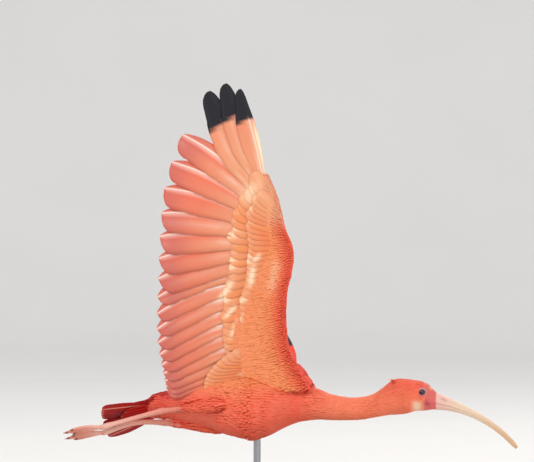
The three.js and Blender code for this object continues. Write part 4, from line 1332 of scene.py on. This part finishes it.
def covert_tint(face, tier, share):
    """Tints of a covert: paler on the under side, with a cream tip on a few."""
    vary, pale = rng.random(), rng.random() < PALE_TIPS

    def tints(f, across, u, v):
        f = np.broadcast_to(f, across.shape)
        shaft = np.exp(-(across / 0.07) ** 2)
        if face > 0:
            tint = mix(mix(SCARLET, BREAST, 0.4 * vary + 0.4 * share), LEAD_RED, 0.4 * shaft)
        else:
            tint = mix(WARM_ORANGE, CORAL, 0.35 * vary + 0.1 * tier)
            tint = mix(tint, PEACH, np.maximum((0.3 + 0.4 * vary) * smooth_step(f, 0.3, 1.0),
                                               0.8 * smooth_step(share, 0.62, 0.85)))
            tint = mix(tint, CREAM, (0.7 if pale else 0.12) * np.exp(-((across - 0.1) / 0.2) ** 2)
                       * smooth_step(f, 0.35, 0.7))
            tint = pale_bases_and_highlights(tint, u, v)
        return tint, tint

    return tints


print("share of pale tips:", PALE_TIPS)

# %% [markdown]
# Coverts are shorter feathers that lie in tiers over the roots of the flight feathers, on both faces of the
# wing. Each follows the flight feather beneath it, also between two of them, and lies a little higher than
# the tier below. A row near the body hides where the wing joins the flank.

# %% Where the coverts grow
TIER_STEP = 1.9
COVERT_TIERS = [
    {"from": 0.3, "to": 17.6, "step": 0.6, "root": 0.42, "length": 0.42, "width": 24},
    {"from": 0.3, "to": 16.6, "step": 0.5, "root": 0.28, "length": 0.31, "width": 20},
]
COVERT_FORM = {
    "tilt": 0.02, "outline": SHORT_OUTLINE, "columns": 7, "shaft": 0.1, "hump": 0.03, "thick": 0.25,
}
BODY_FEATHERS = [((4 - 3.2 * i, 12 + 2.4 * i), (-106 + 0.5 * i * i, -8 + 5.4 * i)) for i in range(11)]
# the thumb's feathers: root, tip, width
ALULA = [((8, 166), (0, 224), 12), ((11, 164), (5, 211), 11), ((13, 163), (10, 197), 9)]


def between_flights(k):
    """A flight feather at a fractional count, for the denser coverts."""
    low = min(int(k), FLIGHT_COUNT - 2)
    a, b, t = flight[low], flight[low + 1], k - low
    ends = {end: (1 - t) * np.array(a[end], float) + t * np.array(b[end], float) for end in ("root", "tip")}
    return {**ends, "bow": a["bow"]}


def wing_coverts(side, face):
    """The tiers of coverts over one face of a wing."""
    place = partial(on_wing, side)
    found = []
    for tier, plan in enumerate(COVERT_TIERS):
        for k in np.arange(plan["from"], plan["to"], plan["step"]):
            guide = between_flights(k)
            v = guide["root"][1]
            (edge,), (chord, thick) = between(LEADING_EDGE, v), between(WING_FLESH, v)
            root = np.array([edge - plan["root"] * chord, v])
            reach = plan["length"] * (1 + 0.035 * rng.normal()) * (1 - 0.3 * smooth_step(k, 13, 17))
            tip = root + reach * (guide["tip"][:2] - guide["root"][:2])
            level = (tier + 1) * TIER_STEP
            found.append(large_feather(
                (*root, face * min(level, thick * 0.6)), (*tip, face * level), plan["width"], place,
                covert_tint(face, tier, k / FLIGHT_COUNT), outer=0.45, bow=guide["bow"], rows=14,
                **COVERT_FORM))
    for root, tip in BODY_FEATHERS:
        found.append(large_feather((*root, face * 3), (*tip, face * 2.1 * TIER_STEP), 17, place,
                                   covert_tint(face, 0, 0.1), bow=0.03, rows=20, **COVERT_FORM))
    return found


def thumb_feathers(side):
    """The few stiff feathers on the thumb, at the bend of the wing."""
    return [large_feather((*root, 3.2), (*tip, 5.4 + 0.7 * i), width, partial(on_wing, side),
                          covert_tint(1, 0, 0.5), bow=0.05, outline=SHORT_OUTLINE, rows=20, columns=7,
                          shaft=0.5)
            for i, (root, tip, width) in enumerate(ALULA)]


print("tiers of coverts:", len(COVERT_TIERS), "thumb feathers:", len(ALULA))

# %% [markdown]
# With places, tints and the sheet maker at hand, a wing is two calls: its flight feathers, then all that
# covers their roots. The left wing is the right one on the other side of the body.

# %% Flight feathers and coverts of both wings
for side, label in ((-1, "right"), (1, "left")):
    vanes_laid = [large_feather(place=partial(on_wing, side), tint_of=flight_tint(k, side), **feather)
                  for k, feather in enumerate(flight)]
    coats.append(gathered(f"flight_feathers_{label}", vanes_laid, 5))
    coverts_laid = wing_coverts(side, 1) + wing_coverts(side, -1) + thumb_feathers(side)
    coats.append(gathered(f"coverts_{label}", coverts_laid, 11, plumage))

# %% [markdown]
# At the nape a few longer feathers stand off the neck as a small crest. They are made by the same sheet
# maker, on a flat place behind the crown, because the small feathers of the coat lie too close.

# %% The crest
CREST = {"locks": 11, "x": 209, "z": 34.6, "spread": 9, "length": 12.5, "width": 5.5}


def crest_tint(f, across, u, v):
    """The crown's red, brighter at the tips."""
    tint = mix(CROWN, LEAD_RED, np.broadcast_to(f, across.shape))
    return tint, tint


def nape(u, v, w):
    """A place on the nape: u ahead, v to the left, w up, from the crest's root."""
    u, v, w = np.broadcast_arrays(np.asarray(u, float), v, w)
    return (np.stack([CREST["x"] + u, v, CREST["z"] + w], -1) + BIRD_PLACE) * MM


locks = []
for k in range(CREST["locks"]):
    off = np.interp(k, [0, CREST["locks"] - 1], [-1, 1])
    drop = -3 * off * off
    root = (0, off * CREST["spread"], drop - 0.9)
    tip = (-CREST["length"] + 3 * off * off, off * CREST["spread"] * 1.15, drop + 0.5 + 0.5 * (k % 2))
    locks.append(large_feather(root, tip, CREST["width"], nape, crest_tint, outer=0.5, bow=0, tilt=0,
                               outline=SHORT_OUTLINE, rows=14, columns=5, shaft=0.1, hump=0.3))
coats.append(gathered("crest_locks", locks, 3))

# %% [markdown]
# The tail has twelve feathers in a low stack, the middle pair on top, with coverts over their roots.
# They are made by the same sheet maker as the wing's feathers, but on the tail's own surface.

# %% Tail feathers and their coverts
TAIL_PAIRS, TAIL_LENGTH, TAIL_STEP = 6, 98, 0.9
TAIL_COVERTS = [
    {"across": 9, "root": (-4, 9, 7.5), "tip": (-66, 18, 3.4), "width": 14},
    {"across": 7, "root": (-6, 9, -14), "tip": (-74, 15, -9), "width": 16},
]


def tail_tint(dark):
    """Deep red, darker near the tip, with a brighter shaft."""
    vary = 0.3 * rng.random()

    def tints(f, across, u, v):
        f = np.broadcast_to(f, across.shape)
        shaft = np.exp(-(across / 0.05) ** 2)
        tint = mix(RUMP, TAIL_RED, dark + vary * smooth_step(f, 0.3, 1))
        tint = mix(tint, LEAD_RED, 0.5 * shaft)
        return tint, tint

    return tints


tail_rows = []
for side in (-1, 1):
    for k in range(TAIL_PAIRS):
        level = (0.5 if side < 0 else -0.5) * TAIL_STEP - k * TAIL_STEP
        root = (-22 + 0.8 * k, side * (2 + 2.2 * k), level)
        tip = (-TAIL_LENGTH + 0.16 * k * k, side * (7 + 5 * k), level)
        tail_rows.append(large_feather(root, tip, 20 if k else 18, on_tail, tail_tint(0.6), outer=0.5, bow=0,
                                       tilt=0, rows=30, columns=7))
for plan in TAIL_COVERTS:
    for k in range(plan["across"]):
        off = np.interp(k, [0, plan["across"] - 1], [-1, 1])
        drop = -np.sign(plan["root"][2]) * (2.5 * off * off - 0.25 * k)
        root = (plan["root"][0], off * plan["root"][1], plan["root"][2] + drop)
        tip = (plan["tip"][0] + 10 * off * off, off * plan["tip"][1], plan["tip"][2] + drop)
        tint_of = tail_tint(0.5 if root[2] > 0 else 0.1)
        tail_rows.append(large_feather(root, tip, plan["width"], on_tail, tint_of, outer=0.5, bow=0, tilt=0,
                                       outline=SHORT_OUTLINE, rows=18, columns=7, shaft=0.2, hump=0.1))
coats.append(gathered("tail_feathers", tail_rows, 6))

# %% [markdown]
# The bill is horn: two mandibles that meet in a fine line, curved down to a blunt tip, with slit
# nostrils near the face and a shallow furrow along each side. Each is a half-round loft along the
# bill's curve, and the nostrils and furrows are pushed in by formula. A curve object with a bevel would
# give one round tube, without the line where the halves meet.

# %% The bill
BILL_LENGTH, BILL_DIP, BILL_CURL, BILL_HOOK = 132, *np.radians([13.4, 23.5, 14])
BILL_X, BILL_Z, MOUTH_SHARE = FACE_X + 0.15, 6.7, 0.28
# share of the length, half width, half height
BILL_SIZE = [
    (0, 8.6, 12.3), (0.1, 7, 9.8), (0.25, 5.4, 7.1), (0.4, 4.5, 5.4), (0.6, 3.6, 4.4), (0.8, 3, 3.8),
    (0.95, 2.6, 3.3), (1, 1.6, 2.1),
]
BILL_PINK, BILL_CREAM, BILL_TAN = paint(234, 188, 174), paint(232, 206, 176), paint(218, 178, 136)
# the colour of the painted shade in the furrows, the nostrils and the line where the mandibles meet
BILL_PAINTED_SHADE = paint(150, 96, 80)


def bill_furrow(rise, t, upper):
    """How deep the furrow and the nostril lie, at a rise round the half and a share t of the length."""
    line = 0.38 if upper else -0.72
    furrow = 0.09 * np.exp(-((rise - line) / 0.12) ** 2) * smooth_step(t, 0.03, 0.12)[:, None]
    furrow = furrow * smooth_step(t, 1.0, 0.85)[:, None]
    if upper:
        furrow += 0.3 * np.exp(-((rise - 0.5) / 0.09) ** 2) * np.exp(-((t[:, None] - 0.085) / 0.035) ** 4)
    return furrow


def mandible(name, upper):
    """One half of the bill as a closed mesh."""
    rows, sides = 90, 28
    t = np.linspace(0, 1, rows)
    angle = BILL_DIP + BILL_CURL * t + BILL_HOOK * t * t
    step = BILL_LENGTH / (rows - 1)
    x = BILL_X + step * np.concatenate([[0], np.cumsum(np.cos((angle[1:] + angle[:-1]) / 2))])
    z = BILL_Z - step * np.concatenate([[0], np.cumsum(np.sin((angle[1:] + angle[:-1]) / 2))])
    half, deep = between(BILL_SIZE, t)
    mouth = -MOUTH_SHARE * (1 - t)
    start = np.arcsin(mouth)
    low, high = (start, np.pi - start) if upper else (np.pi - start, 2 * np.pi + start)
    turn = low[:, None] + (high - low)[:, None] * np.linspace(0, 1, sides)
    rise, out = np.sin(turn), np.cos(turn)
    furrow = bill_furrow(rise, t, upper)
    lean = np.maximum(0, 1 - t / 0.16)[:, None]
    across = half[:, None] * out * (1 - furrow)
    up = deep[:, None] * rise * (1 - 0.4 * furrow)
    up[:, [0, -1]] += 0.1 if upper else -0.1
    px = x[:, None] + up * np.sin(angle)[:, None]
    pz = z[:, None] + up * np.cos(angle)[:, None]
    shift = lean * (x[:, None] - px) / np.cos(angle)[:, None]
    px, pz = px + shift * np.cos(angle)[:, None], pz - shift * np.sin(angle)[:, None]
    points = (np.stack([px, across, pz], -1) + BIRD_PLACE) * MM
    tint = mix(mix(BILL_PINK, BILL_CREAM, smooth_step(t, 0.02, 0.3)), BILL_TAN, smooth_step(t, 0.35, 1))
    tint = np.repeat(mix(FACE, tint, smooth_step(t, -0.004, 0.022))[:, None], sides, 1)
    # painted shade in the furrows and nostrils, and along the line where the mandibles meet
    groove_shade = 0.5 * np.clip(furrow * 3, 0, 1) + 0.25 * (np.abs(rise - mouth[:, None]) < 0.08)
    tint = mix(tint, BILL_PAINTED_SHADE, groove_shade)
    maps = np.stack([across, np.broadcast_to(t[:, None] * BILL_LENGTH, across.shape)], -1) * 0.1
    flat = np.stack([np.broadcast_to(np.linspace(0.02, 0.98, sides), across.shape),
                     np.broadcast_to(np.linspace(0.02, 0.98, rows)[:, None], across.shape)], -1)
    piece = make_piece(name, points.reshape(-1, 3), tube_faces(rows, sides), horn, maps.reshape(-1, 2),
                       tint.reshape(-1, 3), flat.reshape(-1, 2))
    return turned_out(piece)


upper_bill, lower_bill = mandible("upper_mandible", True), mandible("lower_mandible", False)
print("bill faces:", len(upper_bill.data.polygons), len(lower_bill.data.polygons))

# %% [markdown]
# An eye is a wet ball that sits deep in its lids. The ball bulges a little over the pupil, as a cornea does,
# and pupil, iris and dark rim are told apart by the angle from its axis.

# %% The eyes
PUPIL, IRIS, EYE_RIM = paint(10, 8, 8), paint(62, 34, 22), paint(16, 10, 9)


def eyeball(name, side):
    """A fine sphere, tinted as pupil, iris and dark rim by the angle from its own axis."""
    rows, sides = 36, 48
    polar = np.linspace(0.02, np.pi - 0.02, rows)
    turn = round_steps(sides)
    bulge = 1 + 0.05 * np.exp(-(polar / 0.5) ** 2)
    ring = np.stack([np.sin(polar)[:, None] * np.cos(turn), (np.cos(polar) * bulge)[:, None] + 0 * turn,
                     np.sin(polar)[:, None] * np.sin(turn)], -1)
    points = eye_centre(side) + ring * [1, side, 1] * (EYE_RADIUS - 0.05) * MM
    tint = mix(PUPIL, IRIS, smooth_step(polar, 0.42, 0.48))
    tint = mix(tint, EYE_RIM, smooth_step(polar, 0.72, 0.85))
    tint = np.repeat(tint[:, None], sides, 1).reshape(-1, 3)
    return turned_out(make_piece(name, points.reshape(-1, 3), tube_faces(rows, sides), wet_eye, tints=tint))


eyes = [eyeball("eye_right_ball", -1), eyeball("eye_left_ball", 1)]
print("eyes at", [np.round(eye_centre(side), 4).tolist() for side in (-1, 1)])

# %% [markdown]
# Shanks and toes are bare and scaly. A tube follows the leg's line, thick at the joints, and its
# surface is ringed by shallow plates; each toe ends in a claw of darker horn. A skin modifier could make
# such limbs from a few edges, but a tube whose radius is known fits the thigh and the solids exactly.

# %% Legs and feet
# the pale leg colour is a painted highlight, laid on the lower shank and the roots of the toes
LEG_PINK, LEG_PAINTED_HIGHLIGHT, CLAW = paint(222, 132, 108), paint(238, 194, 178), paint(128, 84, 72)
TOE_END = (-258, 7, -56)
# sideways spread, share of the longest toe, radius
TOES = [(-4.5, 0.84, 2.3), (0, 1, 2.4), (4.5, 0.8, 2.3)]
CLAW_FROM = 50  # the point of a toe's path where the claw begins
SHANK_FROM = 0.395  # share of the leg's length, a little inside the thigh


def scaled_tube(path, radius, sides, plate):
    """A tube whose radius swells a little at each plate. plate is a plate's length in millimetres."""
    run = run_along(path) / MM
    swell = 1 + 0.05 * np.abs(np.sin(np.pi * run / plate)) ** 0.5
    points = tube_points(path, radius * swell * MM, sides)
    around = np.broadcast_to(round_steps(sides), points.shape[:2])
    maps = np.stack([around * radius[:, None] * 0.1, np.broadcast_to(run[:, None] * 0.1, around.shape)], -1)
    return points, maps


def leg_tube(name, tubes, material, tint_a, tint_b):
    """Closed tubes joined in one piece."""
    tints = []
    for ring, _ in tubes:
        rows, sides = ring.shape[:2]
        tints.append(np.repeat(mix(tint_a, tint_b, np.linspace(0, 1, rows))[:, None], sides, 1))
    points, faces = joined([ring for ring, _ in tubes])
    piece = make_piece(name, points, faces, material, in_rows([maps for _, maps in tubes]), in_rows(tints))
    return turned_out(piece)


def shank(side, label):
    """The bare shin and tarsus."""
    shares = np.linspace(SHANK_FROM, 1.0, 150)
    (radius,) = between(LEG_SIZE, shares)
    radius = radius * np.interp(shares, [SHANK_FROM, 0.43], [0.5, 0.96])
    # the shank pales to a painted highlight towards its lower end
    return leg_tube(f"shank_skin_{label}", [scaled_tube(leg_path(side, shares), radius, 24, 3.2)], scales,
                    LEG_PINK, LEG_PAINTED_HIGHLIGHT)


def leg_end(side):
    """The end of a leg's line, and the way it points."""
    near = leg_path(side, [0.985, 1.0])
    return near[1], unit(near[1] - near[0])


def toe_paths(side):
    """The middle line of each toe, from knuckle to claw."""
    start, ahead = leg_end(side)
    end = on_body(TOE_END[0], side * TOE_END[1], TOE_END[2])
    left = on_body(0, 1, 0) - on_body(0, 0, 0)
    below = on_body(0, 0, -1) - on_body(0, 0, 0)
    for spread, share, radius in TOES:
        tip = start + (end - start) * share + left * spread + below * 2
        middle = (start + tip) / 2 + left * spread * 0.4 - below * 1.5
        yield smooth_line([start + ahead * 1.5 * MM, middle, tip], np.linspace(0, 1, 60)), radius


def foot(side, label):
    """Toes with pads at their joints, and a claw on each."""
    start, ahead = leg_end(side)
    knuckle = start + ahead * np.linspace(0.3, 6.3, 12)[:, None] * MM
    tubes = [scaled_tube(knuckle, np.interp(np.linspace(0, 1, 12), [0, 0.5, 1], [3.8, 3.5, 2.6]), 20, 3)]
    claws = []
    for path, radius in toe_paths(side):
        t = np.linspace(0, 1, len(path))
        pads = 1 + 0.14 * np.cos(2 * np.pi * t * 3) ** 8
        size = radius * pads * np.interp(t, [0, 0.8, 0.93, 1], [1, 0.92, 0.5, 0.18]) * 0.96
        tubes.append(scaled_tube(path, size, 16, 2.2))
        claw_path = path[CLAW_FROM:]
        claw = np.interp(np.linspace(0, 1, len(claw_path)), [0, 0.2, 1], [0.5, 1.08, 0.16])
        claws.append(scaled_tube(claw_path, claw * size[CLAW_FROM] * 0.95, 12, 30))
    # the toes start in the painted highlight and turn pink towards the claws
    return (leg_tube(f"toes_{label}", tubes, scales, LEG_PAINTED_HIGHLIGHT, LEG_PINK),
            leg_tube(f"claws_{label}", claws, horn, CLAW, CLAW * 0.6))


legs = {}
for side, label in ((-1, "right"), (1, "left")):
    legs[label] = (shank(side, label), *foot(side, label))
print("leg pieces:", sum(len(pieces) for pieces in legs.values()))

# %% [markdown]
# The stand is plain: a stained wooden board with rounded corners and edges, and a brushed rod that
# goes up into the belly. The photograph has no stand, and a flying bird needs one. The board could be a
# cube with a bevel; here its outline is repeated at a few heights, which gives the same rounded edge.

# %% The stand
BASE_LENGTH, BASE_WIDTH, BASE_THICK, CORNER, BEVEL = 260, 220, 18, 30, 2
ROD_RADIUS, ROD_X, ROD_TOP = 5, 10, BIRD_PLACE[2] - 30
ROD_GAP = 0.3  # the rod starts this far over the board, so that the two share no face


def board():
    """The base: its outline repeated at a few heights, smaller where the edge is rounded."""
    turn = np.linspace(0, np.pi / 2, 12)
    corners = [(1, -1, -np.pi / 2), (1, 1, 0), (-1, 1, np.pi / 2), (-1, -1, np.pi)]
    edge = np.linspace(0, np.pi / 2, 5)
    lower = [(BEVEL * (1 - np.sin(a)), BEVEL * (1 - np.cos(a))) for a in edge]
    levels = lower + [(inset, BASE_THICK - z) for inset, z in reversed(lower)]
    rings = []
    for inset, z in levels:
        radius = CORNER - inset
        ring = [((sx * (BASE_LENGTH / 2 - CORNER) + radius * math.cos(a + start)),
                 (sy * (BASE_WIDTH / 2 - CORNER) + radius * math.sin(a + start)), z)
                for sx, sy, start in corners for a in turn]
        rings.append(ring)
    rings = np.array(rings) * MM
    piece = make_piece("base_board", rings.reshape(-1, 3), tube_faces(*rings.shape[:2]), stained_wood)
    return turned_out(piece)


def rod():
    """The rod, with a small bevel at its top."""
    sides = 48
    bottom = BASE_THICK + ROD_GAP
    profile = [(ROD_RADIUS, bottom), (ROD_RADIUS, bottom + 2), (ROD_RADIUS, ROD_TOP - 0.5),
               (ROD_RADIUS - 0.5, ROD_TOP)]
    turn = round_steps(sides)
    rings = np.array([[(r * math.cos(a), r * math.sin(a), z) for a in turn] for r, z in profile])
    rings = (rings + [BIRD_PLACE[0] + ROD_X, BIRD_PLACE[1], 0]) * MM
    return turned_out(make_piece("rod_post", rings.reshape(-1, 3), tube_faces(len(profile), sides),
                                 brushed_metal))


base_board, rod_post = board(), rod()
for flat_piece in (base_board, rod_post):
    corner = flat_piece.modifiers.new("shade", "EDGE_SPLIT")
    corner.split_angle = math.radians(32)
print("stand ready, rod's top at", ROD_TOP, "mm")

# %% [markdown]
# Each piece rides on the one body and stands for the solids that it replaces. The skin stands for the flesh
# of body, neck, head and thighs, so the small feathers over it replace nothing more. Feathers of the wings
# and the tail stand for the wings and the tail.

# %% Tie the pieces to the frame
FLESH = ("torso", "neck_lower", "neck_upper", "head", "thigh_right", "thigh_left")


def tie(piece, slot, *nodes):
    """Rides on the body and stands for some solids. slot is not used."""
    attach(piece, BODY)
    if nodes:
        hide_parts(*nodes)


bpy.data.objects.remove(feather_form)
for spare in ("lie", "length", "flat"):
    skin_mesh.attributes.remove(skin_mesh.attributes[spare])
tie(skin, "plumage", *FLESH)
wing_of = {"right": "wing_right", "left": "wing_left"}
for coat in coats:
    label = coat.name.rsplit("_", 1)[-1]
    if coat.name == "tail_feathers":
        tie(coat, "plumage", "tail")
    elif label in wing_of:
        tie(coat, "plumage", wing_of[label])
    else:
        tie(coat, "plumage")
tie(upper_bill, "bill", "bill_upper")
tie(lower_bill, "bill", "bill_lower")
tie(eyes[0], "eye", "eye_right")
tie(eyes[1], "eye", "eye_left")
for label, (shank_skin, toes, claws) in legs.items():
    tie(shank_skin, "leg_skin", f"shank_{label}")
    tie(toes, "leg_skin", f"foot_{label}")
    tie(claws, "bill")
tie(base_board, "stand_wood", "stand_base")
tie(rod_post, "stand_metal", "stand_rod")
shown = [o for o in bpy.data.objects if o.type == "MESH" and o.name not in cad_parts]
print("triangles shown:", sum(sum(len(p.vertices) - 2 for p in o.data.polygons) for o in shown))

# %% [markdown]
# The studio is plain: a pale floor that curves up into a backdrop, one large soft key light from the
# bird's front right, a broad fill and a pale sky. A picture of a sky could light it too, but it would
# need a file.

# %% Floor and lights
FLOOR_DARK, FLOOR_LIGHT = paint(230, 228, 224), paint(236, 234, 230)
# name, place, size, power, colour
LIGHTS = [
    ("key", (-1.4, -2.6, 2.6), 1.0, 48, (1.0, 0.96, 0.9)),
    ("fill", (2.6, -2.4, 1.0), 2.2, 18, (0.95, 0.97, 1.0)),
    ("rim", (1.0, 2.2, 2.8), 1.4, 30, (1.0, 0.97, 0.93)),
]
LIT_POINT = (0.0, 0.0, 0.4)
SKY, SKY_STRENGTH = (0.95, 0.96, 1.0, 1), 0.9


def backdrop():
    """A floor that rises behind the bird in one smooth bend."""
    bend, back, wide = 2.0, 8.0, 12.0
    turn = np.linspace(0, np.pi / 2, 16)
    profile = [(-12.0, 0.0)] + [(back - bend + bend * math.sin(a), bend - bend * math.cos(a)) for a in turn]
    profile += [(back, 8.0)]
    points = [(x, y, z) for y, z in profile for x in (-wide, wide)]
    faces = [(2 * i, 2 * i + 1, 2 * i + 3, 2 * i + 2) for i in range(len(profile) - 1)]
    material, tree, shader = new_material("pale_floor", 0.85)
    tone = mixed(tree, noise(tree, 2, 2), FLOOR_DARK, FLOOR_LIGHT)
    tree.links.new(tone, shader.inputs["Base Color"])
    return make_piece("floor", points, faces, material)


def area_light(name, place, size, power, tone):
    """A soft square light aimed at the bird."""
    light = bpy.data.lights.new(name, "AREA")
    light.shape, light.size, light.energy, light.color = "SQUARE", size, power, tone
    lamp = new_object(name, light)
    lamp.location = place
    to = np.array(LIT_POINT) - np.array(place)
    lamp.rotation_euler = (math.acos(-to[2] / np.linalg.norm(to)), 0, math.atan2(to[1], to[0]) - math.pi / 2)


backdrop()
for light in LIGHTS:
    area_light(*light)
world = bpy.data.worlds.new("studio")
world.use_nodes = True
sky = world.node_tree.nodes["Background"]
sky.inputs["Color"].default_value = SKY
sky.inputs["Strength"].default_value = SKY_STRENGTH
bpy.context.scene.world = world
print("lights:", [light[0] for light in LIGHTS])

# %% [markdown]
# The camera stands level, four metres away behind a long lens, a little ahead of the bird's right side, as
# in the photograph. Its lens follows from the size of a pixel at the bird, so the frame fits the photo's.

# %% The camera
PIXEL = 1.4 * MM  # the size of one pixel of the photograph at the bird
AZIMUTH = math.radians(8)
DISTANCE = 4.0
SENSOR = 36
IMAGE = (534, 462)
AXIS_PIXEL = (250, 404)  # where the bird's own origin lies in the photograph

right = np.array([math.cos(AZIMUTH), math.sin(AZIMUTH), 0])
outward = np.array([math.sin(AZIMUTH), -math.cos(AZIMUTH), 0])
across, above = (IMAGE[0] / 2 - AXIS_PIXEL[0]) * PIXEL, (AXIS_PIXEL[1] - IMAGE[1] / 2) * PIXEL
aim = BIRD_PLACE * MM + right * across + np.array([0, 0, above])
lens = bpy.data.cameras.new("camera")
lens.sensor_width = SENSOR
lens.lens = SENSOR * DISTANCE / (IMAGE[0] * PIXEL)
camera = new_object("camera", lens)
camera.location = aim + outward * DISTANCE
camera.rotation_euler = (math.pi / 2, 0, AZIMUTH)
bpy.context.scene.camera = camera
bpy.context.scene.view_settings.view_transform = "Standard"
print("camera height:", round(float(camera.location[2]), 3), "lens:", round(lens.lens))
